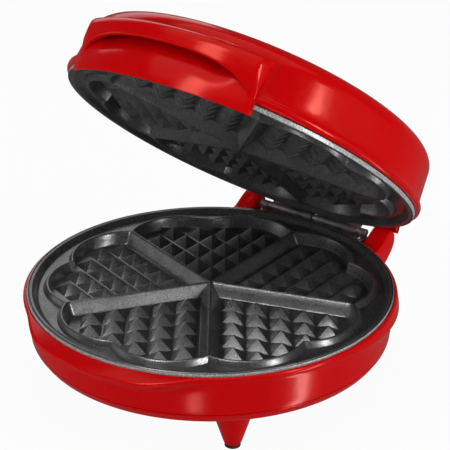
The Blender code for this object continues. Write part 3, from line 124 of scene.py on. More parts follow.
def on_circle(radius, theta, height=0.0):
    return Vector((radius * math.cos(theta), radius * math.sin(theta), height))


def metres(points):
    return [Vector(p) * MM for p in points]


def point(x, y, z):
    return Vector((x * MM, y * MM, z * MM))


def rounded(points, cuts, steps=3, closed=True):
    """An outline in metres, with each corner cut back by up to its cut and rounded."""
    out = []
    last = len(points) - 1
    for k, (here, cut) in enumerate(zip(points, cuts)):
        here = Vector(here)
        if not cut or (not closed and k in (0, last)):
            out.append(here * MM)
            continue
        to_before = Vector(points[k - 1]) - here
        to_after = Vector(points[(k + 1) % len(points)]) - here
        start = here + to_before.normalized() * min(cut, to_before.length * CORNER_SHARE)
        end = here + to_after.normalized() * min(cut, to_after.length * CORNER_SHARE)
        for step in range(steps + 1):
            t = step / steps
            out.append((start * (1 - t) ** 2 + here * 2 * t * (1 - t) + end * t ** 2) * MM)
    return out


def open_outline(points, cuts, steps=3):
    return rounded(points, cuts, steps, closed=False)


def lathe(section, steps, closed=True, centre=None, half=None, spread=None):
    """Spins a section of (radius, height) in metres about Z, fixed or given for each angle.

    With centre and half it is a sector with flat ends, and spread may move its stations' angles.
    """
    section_at = section if callable(section) else lambda theta: section
    bm = bmesh.new()
    rows = bm.verts.layers.int.new("row")
    start = centre - half if half else 0.0
    swing = 2 * half if half else FULL
    points = []
    for row, (radius, height) in enumerate(section_at(start)):
        vert = bm.verts.new(on_circle(radius, start, height))
        vert[rows] = row
        points.append(vert)
    edges = [bm.edges.new(pair) for pair in zip(points, points[1:])]
    if closed:
        edges.append(bm.edges.new((points[-1], points[0])))
    bmesh.ops.spin(bm, geom=points + edges, axis=(0, 0, 1), cent=(0, 0, 0), angle=swing,
                   steps=steps, use_merge=half is None)
    turn = swing / steps
    sections = {}
    for vert in bm.verts:
        on_axis = vert.co.xy.length < SAME_POINT
        theta = start if on_axis else math.atan2(vert.co.y, vert.co.x)
        station = round(((theta - start) % FULL) / turn)
        if half is None:
            station %= steps
        elif station > steps:
            station = 0
        if station not in sections:
            angle = start + turn * station
            if spread:
                angle = centre + half * spread(2 * station / steps - 1)
            sections[station] = (section_at(angle), angle)
        profile, angle = sections[station]
        radius, height = profile[vert[rows]]
        vert.co = on_circle(radius, angle, height)
    bm.verts.layers.int.remove(rows)
    bmesh.ops.remove_doubles(bm, verts=bm.verts, dist=SAME_POINT)
    if half:
        bmesh.ops.holes_fill(bm, edges=[e for e in bm.edges if e.is_boundary])
    bmesh.ops.recalc_face_normals(bm, faces=bm.faces)
    return bm


def round_edges(bm, edges, cut, steps):
    bmesh.ops.bevel(bm, geom=edges, offset=cut, offset_type="OFFSET", segments=steps,
                    profile=0.5, affect="EDGES", material=-1, clamp_overlap=True)


def extruded(bm, face, along):
    """Draws a face out into a closed form and returns the points of its far end."""
    grown = bmesh.ops.extrude_face_region(bm, geom=[face])["geom"]
    far = [g for g in grown if isinstance(g, bmesh.types.BMVert)]
    bmesh.ops.translate(bm, vec=along, verts=far)
    return far


def prism(outline, low, high, cut=0.0, steps=2, axis="X"):
    """An outline in metres, (Y, Z) along X or (X, Y) along Z, drawn out, its end edges rounded."""
    low, high = low * MM, high * MM
    bm = bmesh.new()
    corners = [(low, a, b) if axis == "X" else (a, b, low) for a, b in outline]
    along = Vector((high - low, 0, 0)) if axis == "X" else Vector((0, 0, high - low))
    extruded(bm, bm.faces.new([bm.verts.new(c) for c in corners]), along)
    bmesh.ops.recalc_face_normals(bm, faces=bm.faces)
    if cut:
        flat = SAME_POINT * along.length
        ends = [e for e in bm.edges if abs((e.verts[0].co - e.verts[1].co).dot(along)) < flat]
        round_edges(bm, ends, cut * MM, steps)
    return bm


def block(low, high, cut=0.0):
    """A box between two corners with all its edges rounded."""
    (x0, y0, z0), (x1, y1, z1) = low, high
    outline = [(x * MM, y * MM) for x, y in ((x0, y0), (x1, y0), (x1, y1), (x0, y1))]
    bm = prism(outline, z0, z1, axis="Z")
    if cut:
        round_edges(bm, bm.edges[:], cut * MM, 2)
    return bm


def rod(radius, start, end, sides=32, cut=0.0):
    """A cylinder between two points, with rounded rims."""
    start, end = point(*start), point(*end)
    bm = bmesh.new()
    bmesh.ops.create_cone(bm, cap_ends=True, segments=sides, radius1=radius * MM,
                          radius2=radius * MM, depth=(end - start).length)
    if cut:
        rims = [e for e in bm.edges if abs(e.verts[0].co.z - e.verts[1].co.z) < SAME_POINT]
        round_edges(bm, rims, cut * MM, 3)
    turn = (end - start).to_track_quat("Z", "Y").to_matrix().to_4x4()
    lay = Matrix.Translation((start + end) / 2) @ turn @ Matrix.Rotation(OFF_AXIS, 4, "Z")
    bmesh.ops.transform(bm, matrix=lay, verts=bm.verts)
    return bm


def mirrored(bm):
    """The same shape on the other side of the YZ plane."""
    other = bm.copy()
    bmesh.ops.scale(other, vec=(-1, 1, 1), verts=other.verts)
    bmesh.ops.reverse_faces(other, faces=other.faces)
    return other


def copies(single, matrices):
    """A shape repeated once for each matrix."""
    template = bpy.data.meshes.new("template")
    single.to_mesh(template)
    single.free()
    bm = bmesh.new()
    for matrix in matrices:
        before = len(bm.verts)
        bm.from_mesh(template)
        bm.verts.ensure_lookup_table()
        bmesh.ops.transform(bm, matrix=matrix, verts=bm.verts[before:])
    bpy.data.meshes.remove(template)
    return bm


def combine(body, *steps):
    """Fuses other shapes to a bmesh or cuts them out of it, one step of (ADD or CUT, shape) each."""
    def temporary(bm):
        mesh = bpy.data.meshes.new("forming")
        bm.to_mesh(mesh)
        bm.free()
        made = bpy.data.objects.new("forming", mesh)
        bpy.context.scene.collection.objects.link(made)
        return made

    target = temporary(body)
    others = []
    for operation, shape in steps:
        others.append(temporary(shape))
        modifier = target.modifiers.new("form", "BOOLEAN")
        modifier.operation = operation
        modifier.object = others[-1]
        modifier.solver = "EXACT"
    result = bmesh.new()
    result.from_object(target, bpy.context.evaluated_depsgraph_get())
    for made in [target] + others:
        mesh = made.data
        bpy.data.objects.remove(made)
        bpy.data.meshes.remove(mesh)
    bmesh.ops.remove_doubles(result, verts=result.verts, dist=SAME_POINT / 5)
    return result


def finish_piece(node, bm, body, finish, sharp=34):
    """Lays a shape in its body's place, gives it its finish and lets it stand for a CAD node."""
    bmesh.ops.transform(bm, matrix=LID_PLACE if body == "lid" else BASE_PLACE, verts=bm.verts)
    mesh = bpy.data.meshes.new(f"dressed_{node}")
    bm.to_mesh(mesh)
    bm.free()
    mesh.shade_smooth()
    mesh.set_sharp_from_angle(angle=math.radians(sharp))
    mesh.materials.clear()
    mesh.materials.append(finishes[finish])
    piece = bpy.data.objects.new(f"dressed_{node}", mesh)
    bpy.context.scene.collection.objects.link(piece)
    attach(piece, body)
    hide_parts(node)


# Materials: noise scales are in cells per metre, bump depths in metres

finishes = {}


def add_node(tree, kind, links=(), **settings):
    """Adds a shader node; each link is a socket with the socket or the value that feeds it."""
    made = tree.nodes.new(kind)
    for key, value in settings.items():
        setattr(made, key, value)
    for socket, source in links:
        if isinstance(source, bpy.types.NodeSocket):
            tree.links.new(source, made.inputs[socket])
        else:
            made.inputs[socket].default_value = source
    return made


def math_node(tree, operation, first, second):
    links = [(0, first), (1, second)]
    return add_node(tree, "ShaderNodeMath", links, operation=operation).outputs[0]


def times(colour, factor):
    return tuple(min(1.0, part * factor) for part in colour)


class Surface:
    """A material built step by step round one Principled shader, on Object coordinates."""

    def __init__(self, name, colour, roughness, metallic=0.0, **sockets):
        self.material = finishes[name] = bpy.data.materials.new(name)
        self.material.use_nodes = True
        self.tree = self.material.node_tree
        self.shader = self.tree.nodes["Principled BSDF"]
        values = {"Base Color": (*colour, 1.0), "Roughness": roughness, "Metallic": metallic}
        values.update((key.replace("_", " "), value) for key, value in sockets.items())
        for socket, value in values.items():
            self.shader.inputs[socket].default_value = value
        self.place = self.node("ShaderNodeTexCoord").outputs["Object"]
        self.normal = None

    def node(self, kind, links=(), **settings):
        return add_node(self.tree, kind, links, **settings)

    def noise(self, scale, detail=3.0, roughness=0.55):
        return self.node("ShaderNodeTexNoise", [("Vector", self.place), ("Scale", scale),
                         ("Detail", detail), ("Roughness", roughness)]).outputs["Fac"]

    def drawn_out(self, scales, detail):
        """Noise that is stretched by its own scale along each axis."""
        stretched = self.node("ShaderNodeMapping", [("Vector", self.place), ("Scale", scales)])
        return self.node("ShaderNodeTexNoise", [("Vector", stretched.outputs[0]), ("Scale", 1.0),
                                                ("Detail", detail)]).outputs["Fac"]

    def remap(self, value, low, high, to_low=0.0, to_high=1.0):
        return self.node("ShaderNodeMapRange", [("Value", value), ("From Min", low),
                         ("From Max", high), ("To Min", to_low), ("To Max", to_high)]).outputs[0]

    def mix(self, share, colour_a, colour_b, blend="MIX"):
        sources = [(*s, 1.0) if isinstance(s, tuple) else s for s in (colour_a, colour_b)]
        return self.node("ShaderNodeMix", [(0, share), (6, sources[0]), (7, sources[1])],
                         data_type="RGBA", blend_type=blend).outputs[2]

    def drive(self, socket, source):
        self.tree.links.new(source, self.shader.inputs[socket])

    def vary_roughness(self, noise, low, high):
        self.drive("Roughness", self.remap(noise, 0.3, 0.7, low, high))

    def bump(self, height, strength, depth):
        links = [("Height", height), ("Strength", strength), ("Distance", depth)]
        if self.normal:
            links.append(("Normal", self.normal))
        self.normal = self.node("ShaderNodeBump", links).outputs["Normal"]
        self.drive("Normal", self.normal)


def red_plastic(look):
    """Glossy moulded plastic: a deep red with a faint mottle and a moulded skin's long ripple."""
    red, gloss = tuple(look.red), look.red_roughness
    made = Surface("red_plastic", red, gloss, Specular_IOR_Level=0.33,
                   Specular_Tint=(1.0, 0.26, 0.19, 1.0))
    mottle = made.remap(made.noise(38.0, 2.0), 0.35, 0.65)
    made.drive("Base Color", made.mix(mottle, times(red, 0.95), red))
    made.vary_roughness(made.noise(420.0), gloss * 0.85, gloss * 1.25)
    made.bump(made.noise(95.0, 1.0), 0.05, 0.0006)
    made.bump(made.noise(2600.0, 2.0), 0.03, 0.00004)


def plate_coating(name, look, place, rim):
    """Sprayed non-stick coating: charcoal with pale specks and a grainy satin skin.

    A painted reflection makes it paler and less metallic at the plate's rim, standing in for the white
    table seen in the rim's side; place is the plate's own place in the scene.
    """
    charcoal, gloss = tuple(look.coating), look.coating_roughness
    made = Surface(name, charcoal, gloss, 0.8)
    patches = made.remap(made.noise(60.0), 0.35, 0.7, 0.78, 1.22)
    grain = made.remap(made.noise(1800.0, 3.0, 0.7), 0.44, 0.56, 0.80, 1.20)
    shade = math_node(made.tree, "MULTIPLY", patches, grain)
    tone = made.mix(1.0, charcoal, shade, "MULTIPLY")
    specks = made.remap(made.noise(2600.0, 2.0, 0.6), 0.58, 0.70)
    back = place.inverted()
    own = made.node("ShaderNodeMapping", [("Vector", made.place), ("Location", back.to_translation()),
                                          ("Rotation", back.to_euler())])
    flat = made.node("ShaderNodeVectorMath", [(0, own.outputs[0]), (1, (1.0, 1.0, 0.0))],
                     operation="MULTIPLY")
    radius = made.node("ShaderNodeVectorMath", [(0, flat.outputs[0])], operation="LENGTH")
    # Painted reflection: a pale, speckled grey band at the rim, made less metallic so the lamps light
    # it, stands in for the white table seen in the rim's side
    edge = made.remap(radius.outputs["Value"], (rim - 0.35) * MM, (rim - 0.12) * MM)
    rim_reflection_grain = made.remap(made.noise(1400.0, 3.0, 0.7), 0.4, 0.6)
    painted_rim_reflection = made.mix(rim_reflection_grain, (0.20, 0.20, 0.20), (0.62, 0.62, 0.62))
    # The painted reflection band takes the coating's place at the rim
    made.drive("Base Color", made.mix(edge, made.mix(specks, tone, times(charcoal, 3.0)), painted_rim_reflection))
    made.drive("Metallic", made.remap(edge, 0.0, 1.0, 0.8, 0.1))
    made.vary_roughness(made.noise(700.0), gloss * 0.86, gloss * 1.22)
    made.bump(made.noise(2200.0, 2.0, 0.5), 0.10, 0.00008)


def hinge_steel():
    """Rolled hinge steel, stained by its finish and brushed along its length."""
    made = Surface("hinge_steel", (0.34, 0.34, 0.35), 0.42, 0.9)
    brushed = made.drawn_out((60.0, 2400.0, 2400.0), 3.0)
    made.vary_roughness(brushed, 0.34, 0.52)
    stain = made.remap(made.noise(160.0), 0.4, 0.62)
    made.drive("Base Color", made.mix(stain, (0.26, 0.26, 0.265), (0.44, 0.44, 0.45)))
    made.bump(brushed, 0.08, 0.00004)


def zinc_screw():
    """Zinc plate on small screws: bright and uneven, duller in random patches."""
    made = Surface("zinc_screw", (0.50, 0.50, 0.52), 0.32, 1.0)
    made.vary_roughness(made.noise(1200.0), 0.24, 0.44)
    dull = made.remap(made.noise(700.0), 0.4, 0.6)
    made.drive("Base Color", made.mix(dull, (0.40, 0.40, 0.42), (0.58, 0.58, 0.60)))
    made.bump(made.noise(3000.0), 0.05, 0.00003)


def matt_black(name, colour, roughness):
    """Rubber or nylon with a fine grain."""
    made = Surface(name, colour, roughness)
    grain = made.noise(1800.0)
    worn = made.remap(made.noise(300.0), 0.35, 0.65)
    made.drive("Base Color", made.mix(worn, times(colour, 0.7), times(colour, 1.5)))
    made.vary_roughness(grain, roughness * 0.9, min(1.0, roughness * 1.1))
    made.bump(grain, 0.20, 0.00008)


def sheet_metal(name, colour, roughness):
    """Bright pressed sheet or heat-stained tube, with a soft rolled grain."""
    made = Surface(name, colour, roughness, 1.0)
    rolled = made.drawn_out((1500.0, 40.0, 1500.0), 2.0)
    made.vary_roughness(rolled, roughness * 0.8, roughness * 1.3)
    stain = made.remap(made.noise(45.0), 0.4, 0.62)
    made.drive("Base Color", made.mix(stain, colour, times(colour, 0.7)))
    made.bump(rolled, 0.06, 0.00005)


def plain_grain(name, colour, roughness, scale, depth):
    """Ceramic or woven sleeve with one even grain."""
    made = Surface(name, colour, roughness)
    grain = made.noise(scale)
    made.drive("Base Color", made.mix(made.remap(grain, 0.3, 0.7), times(colour, 0.8), colour))
    made.bump(grain, 0.3, depth)


def clear_lens(name, colour):
    """A tinted lens that passes light, with a fine moulded ripple."""
    made = Surface(name, colour, 0.08, Transmission_Weight=0.55, IOR=1.49)
    ripple = made.noise(900.0, 1.0)
    made.vary_roughness(ripple, 0.06, 0.16)
    made.bump(ripple, 0.08, 0.00005)


def make_finishes(look):
    red_plastic(look)
    plate_coating("plate_coating", look, BASE_PLACE, PLATE_RIM)
    plate_coating("upper_plate_coating", look, LID_PLACE, UPPER_PLATE_RIM)
    hinge_steel()
    zinc_screw()
    matt_black("foot_rubber", (0.014, 0.014, 0.014), 0.75)
    matt_black("black_nylon", (0.020, 0.020, 0.021), 0.48)
    sheet_metal("aluminised_sheet", (0.66, 0.66, 0.67), 0.34)
    sheet_metal("element_sheath", (0.24, 0.22, 0.20), 0.42)
    plain_grain("cream_ceramic", (0.74, 0.70, 0.60), 0.6, 500.0, 0.00006)
    plain_grain("lead_sleeve", (0.66, 0.63, 0.56), 0.8, 1500.0, 0.00012)
    clear_lens("red_lens", (0.75, 0.03, 0.02))
    clear_lens("green_lens", (0.04, 0.45, 0.10))
    clear_lens("neon_glass", (0.85, 0.80, 0.78))


# Base

FEET = 4
FOOT_TWIST = 0.02  # radians; keeps the feet's facets off the tray's
TRAY_SCREW_TURN = math.radians(22.5)
SCREW_BORE = 1.65
LIP_RADIUS = 101.5


def lip_share(theta):
    """1 across the base's front lip, fading to 0 at its ends."""
    return 1 - fade(from_front(theta), 16, 37)


def shelf_drop(radius):
    """How far the front lip's top lies under the plates' plane at a radius."""
    return 1.3 + 0.348 * (radius - 100.43)


def base_section(theta):
    """The shell's section: its rolled rim has a lip at the front and stands lower at the rear."""
    lip = LIP_RADIUS + sizes().lip_reach / MM * lip_share(theta)
    rear = smooth_share(math.sin(theta), -0.45, 0.65)
    crown = lip - 0.8
    shelf = shelf_drop(crown)
    edge = shelf + 0.8
    band = max(3.6 + 6.6 * rear, edge + 0.65)
    bead = lip + 1.3 * rear
    under = band + 5.4
    wall = 99.2 + 1.04 * (1 - rear)
    points = [
        (100.0, -2.3), (100.0, -1.3), (crown, -shelf), (lip, -edge), (bead, -band),
        (bead - 0.7, -band - 1.0), (wall, -under), (99.2, -17.0), (98.4, -24.0),
        (96.2, -24.0), (97.0, -17.0), (97.0, -6.9), (96.4, -4.7), (96.4, -2.3),
    ]
    return rounded(points, [0, 0.3, 0.9, 0.9, 1.2, 2.2, 3.5, 4.0, 0.35, 0, 0, 0, 0, 0], 4)


def make_base_shell():
    """The base with its cheeks and deck at the rear, the hinge's notch and the cord's hole."""
    cheek_side = rounded([(83.5, -16.0), (83.5, -2.9), (93.0, -2.1), (100.6, 2.6), (104.8, 4.6),
                          (107.6, 4.0), (109.6, 1.4), (110.0, -4.0), (106.5, -9.0), (99.8, -14.4)],
                         [0, 0, 2.5, 3.0, 2.0, 1.6, 2.0, 3.0, 3.0, 2.0], 4)
    deck_side = rounded([(86.0, -14.5), (86.0, -3.9), (105.5, -3.9), (105.5, -7.4), (99.2, -14.5)],
                        [0, 0, 0.8, 1.2, 1.5])
    room_side = metres([(0, 3), (99.8, 3), (99.8, -2.15), (96.1, -2.15), (96.1, -19), (0, -19)])
    cheek = prism(cheek_side, 39.8, 51.5, 0.9, 3)
    notch = block((-37.1, 95.2, -3.9), (37.1, 108.5, 3))
    cord_hole = rod(4.5, (0, 88, CORD_RISE), (0, 110, CORD_RISE), 48)
    form = combine(lathe(base_section, 192), (ADD, cheek), (ADD, mirrored(cheek)),
                   (ADD, prism(deck_side, -40.4, 40.4)), (CUT, notch),
                   (CUT, lathe(room_side, 192, closed=False)), (CUT, cord_hole))
    finish_piece("base_shell", form, "base", "red_plastic")


def quarter_angle(index):
    """The angle of the foot or pad of this number; the tray's screws are turned from it."""
    return FULL * (index + 0.5) / FEET


def tray_screw_place(index, height):
    return on_circle(TRAY_SCREW_CIRCLE, TRAY_SCREW_TURN + quarter_angle(index), height)


def make_base_tray():
    """The tray under the base, with its conical feet and its screw holes."""
    dish = open_outline([(0, -30.0), (94.2, -30.0), (95.4, -29.4), (98.0, -25.5), (98.4, -24.3),
                         (96.2, -24.3), (95.0, -25.5), (93.2, -27.8), (0, -27.8)],
                        [0, 1.2, 0.9, 1.2, 0.35, 0, 0, 0, 0])
    foot = open_outline([(0, -28.6), (13.2, -28.6), (13.0, -30.2), (11.0, -31.6), (4.75, -51.3),
                         (4.1, -52.4), (0, -52.4)], [0, 0, 0.6, 1.6, 0.8, 0.8, 0], 4)
    steps = []
    for index in range(FEET):
        cone = lathe(foot, 48, closed=False)
        bmesh.ops.rotate(cone, matrix=Matrix.Rotation(FOOT_TWIST, 3, "Z"), verts=cone.verts)
        middle = on_circle(FOOT_CIRCLE * MM, quarter_angle(index))
        bmesh.ops.translate(cone, vec=middle, verts=cone.verts)
        steps.append((ADD, cone))
    for index in range(FEET):
        hole = rod(SCREW_BORE, tray_screw_place(index, -33), tray_screw_place(index, -25), 24)
        steps.append((CUT, hole))
    form = combine(lathe(dish, 160, closed=False), *steps)
    finish_piece("base_tray", form, "base", "red_plastic")


def make_foot_pads():
    for index in range(FEET):
        top, low = (on_circle(FOOT_CIRCLE, quarter_angle(index), z) for z in (-52.7, -54.1))
        pad = rod(4.2, top, low, 48, cut=0.35)
        finish_piece(f"foot_pad_{index + 1}", pad, "base", "foot_rubber", 50)


# Plates

DIVIDER_END, LOBE_TOP, LOBE_CLEFT = 79.4, 88.0, 80.8  # a heart's radii at the plate's face
LOBE_STEPS = 16
SHOULDER, SHOULDER_CLEAR = 1.6, 2.4
HALF_DIVIDER, SIDE_DRAFT, LOBE_DRAFT = 0.5, 4.1, 1.6
PYRAMID_SHARE = 0.464  # half a pyramid's diagonal over the sum of two pitches
PYRAMID_ROWS = range(1, 9)


def arc_through(first, middle, last, steps):
    """Points on the arc from first through middle to last, the ends included."""
    a, b, c = first, middle, last
    area = 2 * (a.x * (b.y - c.y) + b.x * (c.y - a.y) + c.x * (a.y - b.y))
    aa, bb, cc = (p.length_squared for p in (a, b, c))
    centre = Vector(((aa * (b.y - c.y) + bb * (c.y - a.y) + cc * (a.y - b.y)) / area,
                     (aa * (c.x - b.x) + bb * (a.x - c.x) + cc * (b.x - a.x)) / area))
    begin = a - centre
    turn = begin.angle_signed(b - centre) + (b - centre).angle_signed(c - centre)
    return [centre + Matrix.Rotation(-turn * k / steps, 2) @ begin for k in range(steps + 1)]


def mould_outline(side, inset):
    """One heart about the +X axis, with soft corners at its tip and at its dividers' ends.

    side is half its divider's width, and inset is how far its lobes are drawn in.
    """
    half = SECTOR / 2
    corner = Vector((side / math.sin(half), 0))
    side_line = polar(1, half)
    end = corner + side_line * (DIVIDER_END - inset - corner.x * math.cos(half))
    lobe = arc_through(end, polar(LOBE_TOP - inset, half / 2), polar(LOBE_CLEFT - inset, 0),
                       LOBE_STEPS)
    out_along = (lobe[1] - lobe[0]).normalized()
    before, after = end - side_line * SHOULDER, end + out_along * SHOULDER
    shoulder = [before * (1 - t) ** 2 + end * 2 * t * (1 - t) + after * t ** 2
                for t in (0, 0.25, 0.5, 0.75)]
    lobe = [after] + [p for p in lobe[1:] if (p - end).length > SHOULDER_CLEAR]
    while len(lobe) > LOBE_STEPS:
        lobe.pop(1)
    upper = [corner + side_line * 0.5, corner + side_line * 1.4] + shoulder + lobe
    return upper + [Vector((p.x, -p.y)) for p in reversed(upper[:-1])]


def flower_outline(outset):
    """The outline round all the hearts, moved out by outset."""
    points = []
    for heart in range(HEARTS):
        middle = FRONT + heart * SECTOR
        for sign in (-1, 1):
            notch = polar(DIVIDER_END + outset, middle + sign * SECTOR / 2)
            lobe = polar(LOBE_TOP + outset, middle + sign * SECTOR / 4)
            cleft = polar(LOBE_CLEFT + outset, middle)
            first, last = (notch, cleft) if sign < 0 else (cleft, notch)
            points += arc_through(first, lobe, last, LOBE_STEPS)[:-1]
    return points


def stack(levels):
    """A closed form through outlines of as many points each, given as (outline, height)."""
    bm = bmesh.new()
    loops = []
    for outline, height in levels:
        verts = [bm.verts.new((p.x * MM, p.y * MM, height * MM)) for p in outline]
        loops.append([bm.edges.new(pair) for pair in zip(verts, verts[1:] + verts[:1])])
    for low, high in zip(loops, loops[1:]):
        bmesh.ops.bridge_loops(bm, edges=low + high)
    for loop in (loops[0], loops[-1]):
        bmesh.ops.contextual_create(bm, geom=loop)
    bmesh.ops.recalc_face_normals(bm, faces=bm.faces)
    return bm


def mould_levels():
    """The cavity's cutter from its floor up: a small fillet, a drafted wall and a rounded rib edge."""
    floor = sizes().mould_depth / MM
    fillet = ((0, 0.4), (0.05, 0.25), (0.15, 0.12), (0.35, 0.03), (0.6, 0.0))
    edge = ((0.9, 0.0), (0.7, -0.05), (0.45, -0.18), (0.25, -0.38), (0.12, -0.62), (-0.5, -0.95))
    levels = []
    for depth, flare in (*((floor - up, flare) for up, flare in fillet), (floor / 2, 0.0), *edge):
        share = depth / floor
        side = max(0.12, HALF_DIVIDER + share * SIDE_DRAFT + flare) if depth > 0 else 0.05
        levels.append((mould_outline(side, share * LOBE_DRAFT + flare), -depth))
    return levels


def pyramid_places():
    """Where the pyramids stand in the heart about the +X axis, clear of its walls."""
    half = SECTOR / 2
    pitch = sizes().pyramid_pitch / MM
    limit = mould_outline(HALF_DIVIDER + SIDE_DRAFT, LOBE_DRAFT)
    found = []
    for i in PYRAMID_ROWS:
        for j in PYRAMID_ROWS:
            middle = polar(pitch, half) * i + polar(pitch, -half) * j
            angle = math.atan2(middle.y, middle.x)
            reach = max(p.length for p in limit if abs(math.atan2(p.y, p.x) - angle) < half / 5)
            nearest = min((p - middle).length for p in limit)
            if middle.length < reach - 1.5 and nearest > 3.0:
                found.append(middle)
    return found


def one_pyramid():
    """A rhombic pyramid in millimetres with soft edges and a soft peak, its foot under the floor."""
    pitch = sizes().pyramid_pitch / MM
    floor = sizes().mould_depth / MM
    side_a, side_b = polar(pitch, SECTOR / 2), polar(pitch, -SECTOR / 2)
    reach_a, reach_b = (side_a + side_b) * PYRAMID_SHARE, (side_a - side_b) * PYRAMID_SHARE
    bm = bmesh.new()
    ring = [bm.verts.new((*c, -floor)) for c in (reach_a, reach_b, -reach_a, -reach_b)]
    extruded(bm, bm.faces.new(ring), (0, 0, -0.6))
    upper = [f for f in bm.faces if all(abs(v.co.z + floor) < SAME_POINT for v in f.verts)]
    peak = bmesh.ops.poke(bm, faces=upper)["verts"][0]
    peak.co.z = sizes().pyramid_height / MM - floor
    slopes = [e for e in bm.edges if peak in e.verts]
    bmesh.ops.recalc_face_normals(bm, faces=bm.faces)
    round_edges(bm, slopes, 0.22, 2)
    return bm


def plate_form(rim, flange):
    """A plate face up: its raised rim, the rib round the hearts, the moulds and the pyramids."""
    side = open_outline(
        [(0, -3.2), (rim - 5.8, -3.2), (rim - 3.6, -0.5), (rim - 2.7, 0), (rim - 1.5, 0),
         (rim - 1.15, -0.5), (rim - 0.8, -0.15), (rim - 0.1, -0.15), (rim, -0.25), (rim, -flange),
         (rim - 4, -flange), (rim - 4, -4.8), (90, -6.8), (90, -9.5), (5, -9.5), (5, -16.7),
         (0, -16.7)],
        [0, 1.2, 0.9, 0.5, 0.5, 0.15, 0.3, 0.12, 0.12, 0.25, 0, 0, 0, 0.6, 0, 0, 0], 4)
    rib = [(3.7, -3.9), (3.3, -3.0), (1.75, -0.75), (1.45, -0.38), (1.1, -0.2), (0.8, -0.15)]
    flower = stack([(flower_outline(outset), height) for outset, height in rib])
    turns = [Matrix.Rotation(FRONT + heart * SECTOR, 4, "Z") for heart in range(HEARTS)]
    moulds = copies(stack(mould_levels()), turns)
    spots = pyramid_places()
    pyramids = copies(one_pyramid(), [Matrix.Scale(MM, 4) @ turn @ Matrix.Translation((*spot, 0))
                                      for turn in turns for spot in spots])
    bore = rod(1.6, (0, 0, -20), (0, 0, -11.5), 24)
    return combine(lathe(side, 192, closed=False), (ADD, flower), (CUT, moulds), (ADD, pyramids),
                   (CUT, bore))


def make_plates():
    finish_piece("lower_plate", plate_form(PLATE_RIM, 2.0), "base", "plate_coating", 28)
    form = plate_form(UPPER_PLATE_RIM, 2.4)
    over = Matrix.Translation(point(0, 0, PLATE_GAP)) @ Matrix.Rotation(math.pi, 4, "Y")
    bmesh.ops.transform(form, matrix=over, verts=form.verts)
    finish_piece("upper_plate", form, "lid", "upper_plate_coating", 28)


# Lid

LID_TOP, LID_WALL = 46.0, 2.2
SHOULDER_RADIUS, SHOULDER_INWARD = 98.6, 9.2
SHOULDER_LOW, SHOULDER_RISE = 27.8, 10.1
SHOULDER_TURN = QUARTER * 0.72
ARCH_HALF = math.radians(30.2)
HANDLE_HALF = math.radians(32.2)
HANDLE_SIDE = 54.9
GRIP_CORNER = math.radians(28.4)
GRIP_TOP = 22.6
POCKET_ROOF = 24.3


def crown_points():
    """The lid's outer section over its shoulder to its centre."""
    points = []
    for k in range(9):
        t = SHOULDER_TURN * k / 8
        inward = SHOULDER_INWARD * (1 - math.cos(t)) / (1 - math.cos(SHOULDER_TURN))
        rise = SHOULDER_RISE * math.sin(t) / math.sin(SHOULDER_TURN)
        points.append((SHOULDER_RADIUS - inward, SHOULDER_LOW + rise))
    radius, height = points[-1]
    for k in range(1, 11):
        share = k / 10
        rise = (LID_TOP - height) * (1 - (1 - share) ** 2.2)
        points.append((radius * (1 - share), height + rise))
    return points


def lid_outline():
    crown = crown_points()
    lip = [(101.2, 5.2), (102.1, 6.1), (102.1, 8.35), (100.2, 9.7), (99.75, 12.4)]
    shrink = 1 - LID_WALL / (SHOULDER_RADIUS - SHOULDER_INWARD)
    inner = [(0.0, LID_TOP - LID_WALL)]
    inner += [(max(0.0, r * shrink), h - LID_WALL) for r, h in reversed(crown[:-1])]
    inner += [(96.4, 25.0), (96.4, 5.2)]
    cuts = [0.4, 0.9, 0.9, 0.9, 2.5] + [0] * len(crown + inner)
    return rounded(lip + crown + inner, cuts, 4)


def make_lid_shell():
    """The dome with the handle's window, the hinge's bosses and the lenses' holes."""
    window_side = metres([(88.6, 2.2), (105.1, 2.2), (105.1, 27.2), (88.6, 27.2)])
    steps = [(CUT, lathe(window_side, 48, centre=FRONT, half=math.radians(29.5)))]
    for side in (-1, 1):
        x, lens = side * LID_SCREW_ASIDE, side * LENS_ASIDE
        steps.append((ADD, block((x - 4, 95.6, 6.1), (x + 4, 102.75, 14.4), 0.3)))
        steps.append((CUT, rod(3.7, (lens, LENS_BACK, 30), (lens, LENS_BACK, 50), 48)))
    form = combine(lathe(lid_outline(), 192), *steps)
    finish_piece("lid_shell", form, "lid", "red_plastic")


def arch_edge(angle):
    """Height of the arch's lower edge at an angle from the front."""
    return sizes().arch_height / MM * max(0.0, 1 - (angle / ARCH_HALF) ** 3.0) ** 0.37


def grip_front(height, angle):
    """The grip's outer radius: full at the top, drawn in at its legs' feet and round its corners."""
    corner = min(1.0, max(0.0, (angle - GRIP_CORNER) / (HANDLE_HALF - GRIP_CORNER)))
    proud = sizes().grip_reach / MM * smooth_share(height, 5.5, 16.5)
    return 103.1 + proud * (1 - 0.75 * (1 - math.sqrt(1 - corner ** 2)))


def pocket_points(angle, skirt, mouth, edge):
    """The finger pocket: a scoop up to its roof and down behind the arch to the arch's edge."""
    scoop = 0.0176 * (1 - 0.7 * fade(angle, 19, 28))
    arch_back = 103.5 - 0.9 * fade(angle, 20, 30)
    points = []
    for share in (0.12, 0.24, 0.36, 0.48, 0.60, 0.71, 0.82, 0.91, 0.97):
        height = mouth + (POCKET_ROOF - mouth) * share
        points.append((skirt - scoop * height ** 2, height))
    back = skirt - scoop * POCKET_ROOF ** 2
    front = grip_front(edge, angle)
    inner = min(arch_back, front - 1.7)
    return points + [
        (back + 0.25, POCKET_ROOF), (max(back + 0.6, inner - 1.2), POCKET_ROOF),
        (inner, POCKET_ROOF - 0.9), (inner, edge + 1.0), (inner + 0.2, edge + 0.25),
        (inner + 0.6, edge), (front - 0.6, edge), (front - 0.15, edge + 0.15)]


